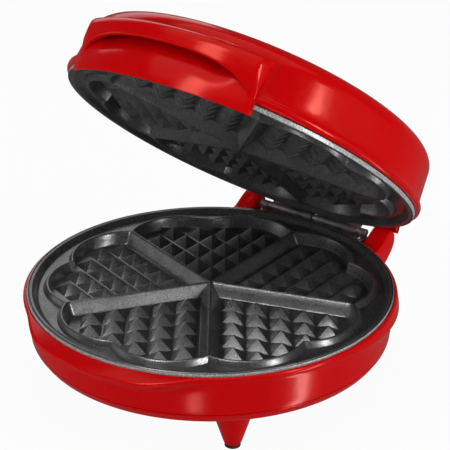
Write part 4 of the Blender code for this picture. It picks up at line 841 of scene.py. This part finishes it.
def handle_section(theta):
    """The grip's section: skirt, scoop, hollow behind the arch, arch and top, and the insert behind."""
    angle = from_front(theta)
    edge = arch_edge(angle)
    skirt = 103.3 + 1.5 * (1 - (angle / HANDLE_HALF) ** 2)
    low = 0.3 - shelf_drop(skirt)
    mouth = low + 0.9
    if edge > mouth + 0.4:
        pocket = pocket_points(angle, skirt, mouth, edge)
        front_low = edge + 0.6
    else:
        pocket = [(skirt, mouth)] * 17
        front_low = mouth + 0.6
    outer = []
    for share in (0.0, 0.2, 0.4, 0.6, 0.8, 1.0):
        height = front_low + (GRIP_TOP - front_low) * share
        outer.append((grip_front(height, angle), height))
    top = grip_front(GRIP_TOP, angle)
    foot = skirt - 2.6
    insert = 1 - fade(angle, 26.5, 29.2)
    behind = [((98.9, 28.0), (99.2, 26.9)), ((99.0, 26.5), (91.6, 26.9)),
              ((99.1, 22.0), (91.6, 18.0)), ((99.1, 18.0), (92.2, 10.9)),
              ((99.3, 14.0), (96.7, 7.5)), ((99.9, 11.8), (99.2, 5.7)),
              ((102.3, 9.8), (foot, 5.7)), ((102.35, 4.0), (foot, 3.0))]
    return metres([
        (foot, 0.3 - shelf_drop(foot)), (skirt - 0.5, low + 0.1), (skirt - 0.1, low + 0.35),
        *pocket, *outer, (top - 0.3, 24.8), (top - 1.3, 26.3), (top - 3.0, 27.4), (98.9, 28.6),
        *(tuple(p + (f - p) * insert for p, f in zip(plain, full)) for plain, full in behind)])


def arch_spread(t):
    """Moves the grip's stations together near the arch's ends, where its edge turns down steeply."""
    bend = ARCH_HALF / HANDLE_HALF
    knee = 0.86
    size = abs(t)
    if size < knee:
        moved = bend * math.sin(QUARTER * size / knee)
    else:
        moved = bend + (1 - bend) * (size - knee) / (1 - knee)
    return math.copysign(moved, t)


def square_off(bm, reach):
    """Turns the grip's radial ends into flat sides at a distance from the middle."""
    for vert in bm.verts:
        radius = vert.co.xy.length
        angle = from_front(math.atan2(vert.co.y, vert.co.x))
        if angle <= ARCH_HALF or radius < reach:
            continue
        share = min(1.0, (angle - ARCH_HALF) / (HANDLE_HALF - ARCH_HALF))
        wanted = ARCH_HALF + (math.asin(reach / radius) - ARCH_HALF) * share
        vert.co.xy = polar(radius, FRONT + math.copysign(wanted, vert.co.x))


def make_handle():
    grip = lathe(handle_section, 150, centre=FRONT, half=HANDLE_HALF, spread=arch_spread)
    square_off(grip, HANDLE_SIDE * MM)
    finish_piece("lid_handle", grip, "lid", "red_plastic")


def lid_room():
    """What the hinge cover keeps clear of: the lid's outer face and a hair more."""
    side = [(0, -3), (101.6, -3), (101.6, 5.2), (102.45, 6.0), (102.45, 8.6), (100.55, 9.9),
            (100.1, 12.4)]
    crown = [(r + 0.35 if r else 0.0, h) for r, h in crown_points()]
    return lathe(metres(side + crown), 192, closed=False)


def make_hinge_cover():
    """A band over the hinge with a cheek at each end, cut to the lid and its bosses."""
    outer = [(82.8, 26.7), (98.6, 25.6), (105.4, 20.7), (110.6, 14.9), (113.4, 11.5), (114.0, 8.1)]
    under_band = [(111.8, 7.5), (111.2, 10.5), (108.5, 13.5), (103.7, 18.5), (82.8, 20.7)]
    under_cheek = [(111.8, 7.5), (109.0, 9.7), (104.6, 12.2), (96.0, 12.6), (82.8, 12.6)]
    cuts = [0, 4.0, 3.0, 2.5, 2.0, 0.7, 0.7, 2.0, 2.0, 3.0, 0]
    band = prism(rounded(outer + under_band, cuts, 5), -50, 50, 0.7, 3)
    cheek = prism(rounded(outer + under_cheek, cuts, 5), 47.6, 50, 0.7, 3)
    steps = [(ADD, cheek), (ADD, mirrored(cheek)), (CUT, lid_room())]
    for x in (-LID_SCREW_ASIDE, LID_SCREW_ASIDE):
        steps.append((CUT, block((x - 4.3, 0, 0), (x + 4.3, 103.05, 14.7))))
    finish_piece("hinge_cover", combine(band, *steps), "lid", "red_plastic")


# Hinge and small parts


def on_pin(radius, low, high, sides=32, cut=0.0):
    """A cylinder round the hinge's axis."""
    return rod(radius, (low, PIN_BACK, PIN_RISE), (high, PIN_BACK, PIN_RISE), sides, cut)


def make_leaf(node, body, half, barrel_start, flat, web, hole_aside, hole):
    """A flat leaf with a barrel on a web at each side, screw holes and the pin's bore.

    flat and web are two corners and hole two ends, each as (Y, Z).
    """
    steps = []
    for side in (-1, 1):
        low, high = sorted((side * barrel_start, side * half))
        x = side * hole_aside
        steps.append((ADD, on_pin(2.25, low, high, 40, 0.2)))
        steps.append((ADD, block((low + 0.3, *web[0]), (high - 0.3, *web[1]))))
        steps.append((CUT, rod(SCREW_BORE, (x, *hole[0]), (x, *hole[1]), 24)))
    steps.append((CUT, on_pin(1.28, -40, 40)))
    form = combine(block((-half, *flat[0]), (half, *flat[1]), 0.15), *steps)
    finish_piece(node, form, body, "hinge_steel", 40)


def make_hinge():
    make_leaf("hinge_base_leaf", "base", PIN_HALF, 31.75, ((95.5, -3.6), (104.2, -2.4)),
              ((100.8, -3.0), (103.2, 0.6)), BASE_SCREW_ASIDE,
              ((BASE_SCREW_BACK, -6), (BASE_SCREW_BACK, -1.65)))
    finish_piece("hinge_pin", on_pin(1.2, -PIN_HALF, PIN_HALF, cut=0.3), "base", "zinc_screw", 50)
    make_leaf("hinge_lid_leaf", "lid", 31.25, 0.5, ((103.05, 4.0), (104.25, 14.4)),
              ((103.2, 0.6), (104.1, 5.2)), LID_SCREW_ASIDE,
              ((102.6, LID_SCREW_RISE), (107.3, LID_SCREW_RISE)))


def lay_at(bm, seat, turn):
    bmesh.ops.transform(bm, matrix=Matrix.Translation(point(*seat)) @ turn, verts=bm.verts)


def make_screw(node, body, seat, outward, length, head=2.7):
    """A pan head with a cross recess on a short shank, seated with its head outward."""
    side = open_outline([(0, -length), (0.7, -length), (1.25, -length + 0.8), (1.25, 0.3),
                         (head, 0.3), (head, 0.9), (head * 0.86, 1.5), (head * 0.4, 1.7), (0, 1.7)],
                        [0, 0, 0.3, 0, 0.15, 0.35, 0.3, 0.2, 0], 2)
    recess = []
    for turn in (0.0, QUARTER):
        slot = block((-head * 0.55, -0.28, 0.9), (head * 0.55, 0.28, 2.6))
        bmesh.ops.rotate(slot, matrix=Matrix.Rotation(turn + 0.3, 3, "Z"), verts=slot.verts)
        recess.append((CUT, slot))
    form = combine(lathe(side, 32, closed=False), *recess)
    lay_at(form, seat, Vector(outward).normalized().to_track_quat("Z", "Y").to_matrix().to_4x4())
    finish_piece(node, form, body, "zinc_screw", 35)


def make_screws():
    for index in range(FEET):
        make_screw(f"tray_screw_{index + 1}", "base", tray_screw_place(index, -30), (0, 0, -1), 7.9)
    for side, name in ((-1, "left"), (1, "right")):
        make_screw(f"hinge_screw_base_{name}", "base",
                   (side * BASE_SCREW_ASIDE, BASE_SCREW_BACK, -2.4), (0, 0, 1), 6.9, 2.16)
        make_screw(f"hinge_screw_lid_{name}", "lid",
                   (side * LID_SCREW_ASIDE, 104.25, LID_SCREW_RISE), (0, 1, 0), 3.9, 2.16)
        theta = FRONT + side * math.radians(32)
        make_screw(f"handle_screw_{name}", "lid", on_circle(96.4, theta, 15),
                   on_circle(-1, theta), 4.6)


def make_gland():
    side = rounded([(3.2, 11.0), (4.2, 11.0), (4.2, 2.4), (4.9, 2.4), (4.9, 1.2), (4.2, 0.0),
                    (3.2, 0.0)], [0.3, 0.3, 0, 0.3, 0.6, 0.4, 0.5])
    form = lathe(side, 64)
    lay_at(form, (0, 102.7, CORD_RISE), Matrix.Rotation(QUARTER, 4, "X"))
    finish_piece("cord_gland", form, "base", "black_nylon", 40)


def crown_height(radius):
    """Height of the lid's top at a radius."""
    crown = crown_points()
    (r0, h0), (r1, h1) = next(pair for pair in zip(crown, crown[1:]) if pair[1][0] <= radius)
    return h0 + (h1 - h0) * (r0 - radius) / (r0 - r1)


def make_lenses():
    top = crown_height(math.hypot(LENS_BACK, LENS_ASIDE))
    low, high = top - 3.4, top + 1.6
    side = open_outline([(0, low), (3.4, low), (3.4, high - 1.2), (2.6, high - 0.3), (0, high)],
                        [0, 0.2, 0.8, 1.0, 0], 5)
    for x, name, finish in ((-LENS_ASIDE, "power", "red_lens"), (LENS_ASIDE, "ready", "green_lens")):
        form = lathe(side, 48, closed=False)
        bmesh.ops.translate(form, vec=point(x, LENS_BACK, 0), verts=form.verts)
        finish_piece(f"{name}_lens", form, "lid", finish, 50)


def dress_kept_nodes():
    """The pieces inside the shells keep their CAD shape and take their finish."""
    kept = {
        "element_sheath": ("lower_element", "upper_element"),
        "aluminised_sheet": ("lower_heat_shield", "upper_heat_shield"),
        "zinc_screw": ("lower_heat_shield_screw", "upper_heat_shield_screw"),
        "black_nylon": ("thermostat",),
        "lead_sleeve": ("thermal_fuse", "element_lead_left", "element_lead_right"),
        "cream_ceramic": ("terminal_block",),
        "neon_glass": ("power_lamp", "ready_lamp"),
    }
    for finish, nodes in kept.items():
        for piece in (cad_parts[node] for node in nodes):
            for slot in piece.material_slots:
                slot.material = finishes[finish]
            if not piece.material_slots:
                piece.data.materials.append(finishes[finish])


# Stage, in metres

MIDDLE = Vector((0, 0, 0.06))
OVERHEAD = Vector((0, 0, 1.5))
WHITE = (1, 1, 1, 1)
HORIZON = 0.03

# The camera as fitted to the photograph: angles in degrees, lengths in its own unit
CAMERA_UNIT = 0.098
CAMERA_TURN, CAMERA_RISE, CAMERA_ROLL = 36.33324720, 24.86238736, 0.1206
CAMERA_DISTANCE, CAMERA_RIGHT, CAMERA_UP = 8.21666, -0.0795171, -0.3114074
CAMERA_SENSOR = 36
CAMERA_FOCUS = 3.28501  # focal length over the sensor's width


def area_lamp(name, location, size, radiance, diffuse=True, glossy=True):
    """A soft rectangular lamp aimed at the object, of an even radiance; it may leave out one light."""
    data = bpy.data.lights.new(name, "AREA")
    data.shape = "RECTANGLE"
    data.size, data.size_y = size
    data.energy = radiance * math.pi * size[0] * size[1]
    lamp = bpy.data.objects.new(name, data)
    bpy.context.scene.collection.objects.link(lamp)
    lamp.location = location
    lamp.rotation_euler = (MIDDLE - location).to_track_quat("-Z", "Y").to_euler()
    lamp.visible_diffuse = diffuse
    lamp.visible_glossy = glossy


def round_the_object(azimuth, elevation, distance):
    """A place by azimuth from +X, elevation and distance from the object's middle."""
    azimuth, elevation = math.radians(azimuth), math.radians(elevation)
    level = math.cos(elevation)
    return MIDDLE + distance * Vector((math.cos(azimuth) * level, math.sin(azimuth) * level,
                                       math.sin(elevation)))


def make_camera():
    """The camera that took the photograph, with its small roll."""
    a, e = math.radians(CAMERA_TURN), math.radians(CAMERA_RISE)
    roll = math.radians(CAMERA_ROLL)
    back = Vector((math.sin(a) * math.cos(e), -math.cos(a) * math.cos(e), math.sin(e)))
    right = Vector((math.cos(a), math.sin(a), 0))
    up = back.cross(right)
    turned_right = right * math.cos(roll) + up * math.sin(roll)
    turned_up = up * math.cos(roll) - right * math.sin(roll)
    offset = back * CAMERA_DISTANCE - right * CAMERA_RIGHT - up * CAMERA_UP
    data = bpy.data.cameras.new("camera")
    data.sensor_width = CAMERA_SENSOR
    data.lens = CAMERA_SENSOR * CAMERA_FOCUS
    data.clip_start, data.clip_end = 0.05, 30
    camera = bpy.data.objects.new("camera", data)
    bpy.context.scene.collection.objects.link(camera)
    turn = Matrix((turned_right, turned_up, back)).transposed().to_4x4()
    location = point(0, 0, PLATE_PLANE) + offset * CAMERA_UNIT
    camera.matrix_world = Matrix.Translation(location) @ turn
    bpy.context.scene.camera = camera


def background_rays(tree, strength):
    """A factor that has this strength for camera, glossy and transmission rays."""
    rays = add_node(tree, "ShaderNodeLightPath").outputs
    total = rays["Is Camera Ray"]
    for name in ("Is Glossy Ray", "Is Transmission Ray"):
        total = math_node(tree, "MAXIMUM", total, rays[name])
    return math_node(tree, "MULTIPLY", total, strength)


def shader_mix(tree, share, first, second):
    return add_node(tree, "ShaderNodeMixShader", [(0, share), (1, first), (2, second)]).outputs[0]


def make_world(look):
    """Dim, even light all round; mirrors and glass see the white table under the horizon."""
    world = bpy.data.worlds.new("studio")
    bpy.context.scene.world = world
    world.use_nodes = True
    tree = world.node_tree
    soft = tree.nodes["Background"]
    soft.inputs["Color"].default_value = WHITE
    soft.inputs["Strength"].default_value = look.world_light
    table = add_node(tree, "ShaderNodeBackground", [("Strength", 1.0)])
    direction = add_node(tree, "ShaderNodeTexCoord").outputs["Generated"]
    height = add_node(tree, "ShaderNodeSeparateXYZ", [(0, direction)]).outputs["Z"]
    below = add_node(tree, "ShaderNodeMapRange", [("Value", height), ("From Min", HORIZON),
                                                  ("From Max", -HORIZON)]).outputs[0]
    shaded = math_node(tree, "MULTIPLY", below, background_rays(tree, look.table_reflection))
    camera_ray = add_node(tree, "ShaderNodeLightPath").outputs["Is Camera Ray"]
    seen = math_node(tree, "MAXIMUM", shaded, camera_ray)
    mixed = shader_mix(tree, seen, soft.outputs[0], table.outputs[0])
    tree.links.new(mixed, tree.nodes["World Output"].inputs["Surface"])


def make_floor(look):
    """White paper that the object stands on; it takes a soft shadow and glows where it is seen."""
    bm = bmesh.new()
    bmesh.ops.create_grid(bm, x_segments=1, y_segments=1, size=20)
    bmesh.ops.translate(bm, vec=(0, 0, CAD_BOX[0][2]), verts=bm.verts)
    mesh = bpy.data.meshes.new("floor")
    bm.to_mesh(mesh)
    bm.free()
    floor = bpy.data.objects.new("floor", mesh)
    bpy.context.scene.collection.objects.link(floor)
    paper = bpy.data.materials.new("white_paper")
    paper.use_nodes = True
    tree = paper.node_tree
    shader = tree.nodes["Principled BSDF"]
    shader.inputs["Base Color"].default_value = (0.80, 0.80, 0.80, 1)
    shader.inputs["Roughness"].default_value = 0.9
    shader.inputs["Specular IOR Level"].default_value = 0.0
    glow = add_node(tree, "ShaderNodeEmission", [("Color", WHITE)])
    rays = background_rays(tree, look.floor_white)
    mixed = shader_mix(tree, rays, shader.outputs[0], glow.outputs[0])
    tree.links.new(mixed, tree.nodes["Material Output"].inputs["Surface"])
    mesh.materials.append(paper)
    floor.visible_glossy = False
    floor.visible_shadow = False


def make_stage(look):
    """Large lamps that light the object, and narrow ones that are seen only in its gloss."""
    make_world(look)
    make_floor(look)
    side, strip, back = look.side_light, look.strip_light, look.back_light
    area_lamp("top", OVERHEAD, (1.8, 1.8), look.top_light)
    area_lamp("right_fill", round_the_object(8, 15, 1.6), (1.5, 1.5), side, glossy=False)
    area_lamp("left_fill", round_the_object(243, 15, 1.6), (1.5, 1.5), side * 0.8, glossy=False)
    for name, location, size, radiance in (
            ("right_low_strip", round_the_object(8, -30, 1.5), (0.17, 1.3), strip * 0.75),
            ("right_high_strip", round_the_object(356, 25, 1.5), (0.16, 0.6), strip * 2.3),
            ("front_low_strip", round_the_object(296.5, -30, 1.5), (0.17, 1.0), strip * 0.42),
            ("front_high_strip", round_the_object(267.5, 60, 1.5), (0.32, 0.84), strip * 0.85),
            ("left_gloss", round_the_object(212, 14, 1.6), (1.0, 0.6), back * 0.7),
            ("top_core", OVERHEAD, (0.45, 0.45), strip * 0.35),
            ("back", round_the_object(142, 24, 1.7), (1.2, 0.8), back)):
        area_lamp(name, location, size, radiance, diffuse=False)
    bpy.context.scene.view_settings.view_transform = "Standard"


# The add-on


class WAFFLE_PG_sizes(bpy.types.PropertyGroup):
    """Sizes a user would change."""

    mould_depth: bpy.props.FloatProperty(
        name="Mould depth", description="Depth of the heart moulds below the plate's face",
        subtype="DISTANCE", unit="LENGTH", min=0.004, max=0.009, default=0.007)
    pyramid_height: bpy.props.FloatProperty(
        name="Pyramid height", description="Height of the small pyramids on the moulds' floor",
        subtype="DISTANCE", unit="LENGTH", min=0.001, max=0.006, default=0.005)
    pyramid_pitch: bpy.props.FloatProperty(
        name="Pyramid pitch", description="Distance from one pyramid to the next along a mould's edge",
        subtype="DISTANCE", unit="LENGTH", min=0.010, max=0.016, default=0.013)
    lip_reach: bpy.props.FloatProperty(
        name="Lip reach", description="How far the base's front lip stands out under the handle",
        subtype="DISTANCE", unit="LENGTH", min=0, max=0.010, default=0.0063)
    grip_reach: bpy.props.FloatProperty(
        name="Grip reach", description="How far the handle bulges out from the lid's side",
        subtype="DISTANCE", unit="LENGTH", min=0, max=0.006, default=0.0031)
    arch_height: bpy.props.FloatProperty(
        name="Arch height", description="Height of the finger opening under the handle",
        subtype="DISTANCE", unit="LENGTH", min=0.010, max=0.020, default=0.0179)


class WAFFLE_PG_look(bpy.types.PropertyGroup):
    """Colours and finishes a user would change."""

    red: bpy.props.FloatVectorProperty(
        name="Red", description="Colour of the shells",
        subtype="COLOR", size=3, min=0, max=1, default=(0.61, 0.0012, 0.0028))
    red_roughness: bpy.props.FloatProperty(
        name="Red roughness", description="Gloss of the shells, where 0 is a mirror",
        subtype="FACTOR", min=0, max=1, default=0.155)
    coating: bpy.props.FloatVectorProperty(
        name="Coating", description="Colour of the plates' coating",
        subtype="COLOR", size=3, min=0, max=1, default=(0.130, 0.130, 0.132))
    coating_roughness: bpy.props.FloatProperty(
        name="Coating roughness", description="Gloss of the coating, where 0 is a mirror",
        subtype="FACTOR", min=0, max=1, default=0.30)


class WAFFLE_PG_studio(bpy.types.PropertyGroup):
    """The studio's light levels."""

    world_light: bpy.props.FloatProperty(
        name="World", description="Strength of the even light all round", min=0, default=0.06)
    table_reflection: bpy.props.FloatProperty(
        name="Table reflection", description="How white the table looks in the object's gloss",
        subtype="FACTOR", min=0, max=1, default=0.08)
    top_light: bpy.props.FloatProperty(
        name="Top lamp", description="Radiance of the large overhead lamp", min=0, default=0.9)
    side_light: bpy.props.FloatProperty(
        name="Side lamps", description="Radiance of the large lamps at either side", min=0, default=3.0)
    strip_light: bpy.props.FloatProperty(
        name="Strip lamps", description="Radiance of the narrow lamps", min=0, default=15.0)
    back_light: bpy.props.FloatProperty(
        name="Back lamp", description="Radiance of the lamp behind the object", min=0, default=1.2)
    floor_white: bpy.props.FloatProperty(
        name="Floor white", description="How much of the floor's shadow is lifted to white",
        subtype="FACTOR", min=0, max=1, default=0.96)


def sizes():
    return bpy.context.scene.waffle_sizes


class WAFFLE_OT_camera(bpy.types.Operator):
    """Adds the camera the photograph was taken with"""

    bl_idname = "waffle.camera"
    bl_label = "Camera"

    def execute(self, context):
        make_camera()
        return {"FINISHED"}


class WAFFLE_OT_finishes(bpy.types.Operator):
    """Makes the materials"""

    bl_idname = "waffle.finishes"
    bl_label = "Finishes"

    def execute(self, context):
        make_finishes(context.scene.waffle_look)
        return {"FINISHED"}


class WAFFLE_OT_base_shell(bpy.types.Operator):
    """Builds the red base"""

    bl_idname = "waffle.base_shell"
    bl_label = "Base shell"

    def execute(self, context):
        make_base_shell()
        return {"FINISHED"}


class WAFFLE_OT_base_tray(bpy.types.Operator):
    """Builds the tray under the base, with its feet"""

    bl_idname = "waffle.base_tray"
    bl_label = "Base tray"

    def execute(self, context):
        make_base_tray()
        return {"FINISHED"}


class WAFFLE_OT_foot_pads(bpy.types.Operator):
    """Builds the rubber pads under the feet"""

    bl_idname = "waffle.foot_pads"
    bl_label = "Foot pads"

    def execute(self, context):
        make_foot_pads()
        return {"FINISHED"}


class WAFFLE_OT_plates(bpy.types.Operator):
    """Builds the two baking plates"""

    bl_idname = "waffle.plates"
    bl_label = "Plates"

    def execute(self, context):
        make_plates()
        return {"FINISHED"}


class WAFFLE_OT_lid_shell(bpy.types.Operator):
    """Builds the red lid"""

    bl_idname = "waffle.lid_shell"
    bl_label = "Lid shell"

    def execute(self, context):
        make_lid_shell()
        return {"FINISHED"}


class WAFFLE_OT_handle(bpy.types.Operator):
    """Builds the grip at the lid's front"""

    bl_idname = "waffle.handle"
    bl_label = "Handle"

    def execute(self, context):
        make_handle()
        return {"FINISHED"}


class WAFFLE_OT_hinge_cover(bpy.types.Operator):
    """Builds the cover behind the hinge"""

    bl_idname = "waffle.hinge_cover"
    bl_label = "Hinge cover"

    def execute(self, context):
        make_hinge_cover()
        return {"FINISHED"}


class WAFFLE_OT_hinge(bpy.types.Operator):
    """Builds the hinge's leaves and its pin"""

    bl_idname = "waffle.hinge"
    bl_label = "Hinge"

    def execute(self, context):
        make_hinge()
        return {"FINISHED"}


class WAFFLE_OT_screws(bpy.types.Operator):
    """Builds the screws"""

    bl_idname = "waffle.screws"
    bl_label = "Screws"

    def execute(self, context):
        make_screws()
        return {"FINISHED"}


class WAFFLE_OT_gland(bpy.types.Operator):
    """Builds the bush in the rear wall"""

    bl_idname = "waffle.gland"
    bl_label = "Cord gland"

    def execute(self, context):
        make_gland()
        return {"FINISHED"}


class WAFFLE_OT_lenses(bpy.types.Operator):
    """Builds the lenses of the indicator lamps"""

    bl_idname = "waffle.lenses"
    bl_label = "Lenses"

    def execute(self, context):
        make_lenses()
        return {"FINISHED"}


class WAFFLE_OT_inside(bpy.types.Operator):
    """Gives the pieces inside their finishes"""

    bl_idname = "waffle.inside"
    bl_label = "Inside"

    def execute(self, context):
        dress_kept_nodes()
        return {"FINISHED"}


class WAFFLE_OT_stage(bpy.types.Operator):
    """Adds the world, the floor and the lamps"""

    bl_idname = "waffle.stage"
    bl_label = "Stage"

    def execute(self, context):
        make_stage(context.scene.waffle_studio)
        return {"FINISHED"}


OPERATORS = [
    WAFFLE_OT_camera, WAFFLE_OT_finishes, WAFFLE_OT_base_shell, WAFFLE_OT_base_tray,
    WAFFLE_OT_foot_pads, WAFFLE_OT_plates, WAFFLE_OT_lid_shell, WAFFLE_OT_handle,
    WAFFLE_OT_hinge_cover, WAFFLE_OT_hinge, WAFFLE_OT_screws, WAFFLE_OT_gland, WAFFLE_OT_lenses,
    WAFFLE_OT_inside, WAFFLE_OT_stage,
]


class WAFFLE_PT_panel(bpy.types.Panel):
    """Lists the pieces, with the sizes and colours they are built from."""

    bl_idname = "WAFFLE_PT_panel"
    bl_label = "Waffle Maker"
    bl_space_type = "VIEW_3D"
    bl_region_type = "UI"
    bl_category = "Waffle Maker"

    def draw(self, context):
        scene = context.scene
        for group in (scene.waffle_sizes, scene.waffle_look, scene.waffle_studio):
            box = self.layout.box()
            for name in group.__annotations__:
                box.prop(group, name)
        for operator in OPERATORS:
            self.layout.operator(operator.bl_idname)


GROUPS = {
    "waffle_sizes": WAFFLE_PG_sizes,
    "waffle_look": WAFFLE_PG_look,
    "waffle_studio": WAFFLE_PG_studio,
}
CLASSES = [*GROUPS.values(), *OPERATORS, WAFFLE_PT_panel]


def register():
    for cls in CLASSES:
        bpy.utils.register_class(cls)
    for name, group in GROUPS.items():
        setattr(bpy.types.Scene, name, bpy.props.PointerProperty(type=group))


def unregister():
    for name in GROUPS:
        delattr(bpy.types.Scene, name)
    for cls in reversed(CLASSES):
        bpy.utils.unregister_class(cls)


def main():
    """Builds everything in order."""
    register()
    bpy.ops.waffle.camera()
    bpy.ops.waffle.finishes()
    bpy.ops.waffle.base_shell()
    bpy.ops.waffle.base_tray()
    bpy.ops.waffle.foot_pads()
    bpy.ops.waffle.plates()
    bpy.ops.waffle.lid_shell()
    bpy.ops.waffle.handle()
    bpy.ops.waffle.hinge_cover()
    bpy.ops.waffle.hinge()
    bpy.ops.waffle.screws()
    bpy.ops.waffle.gland()
    bpy.ops.waffle.lenses()
    bpy.ops.waffle.inside()
    bpy.ops.waffle.stage()


if __name__ == "__main__":
    main()
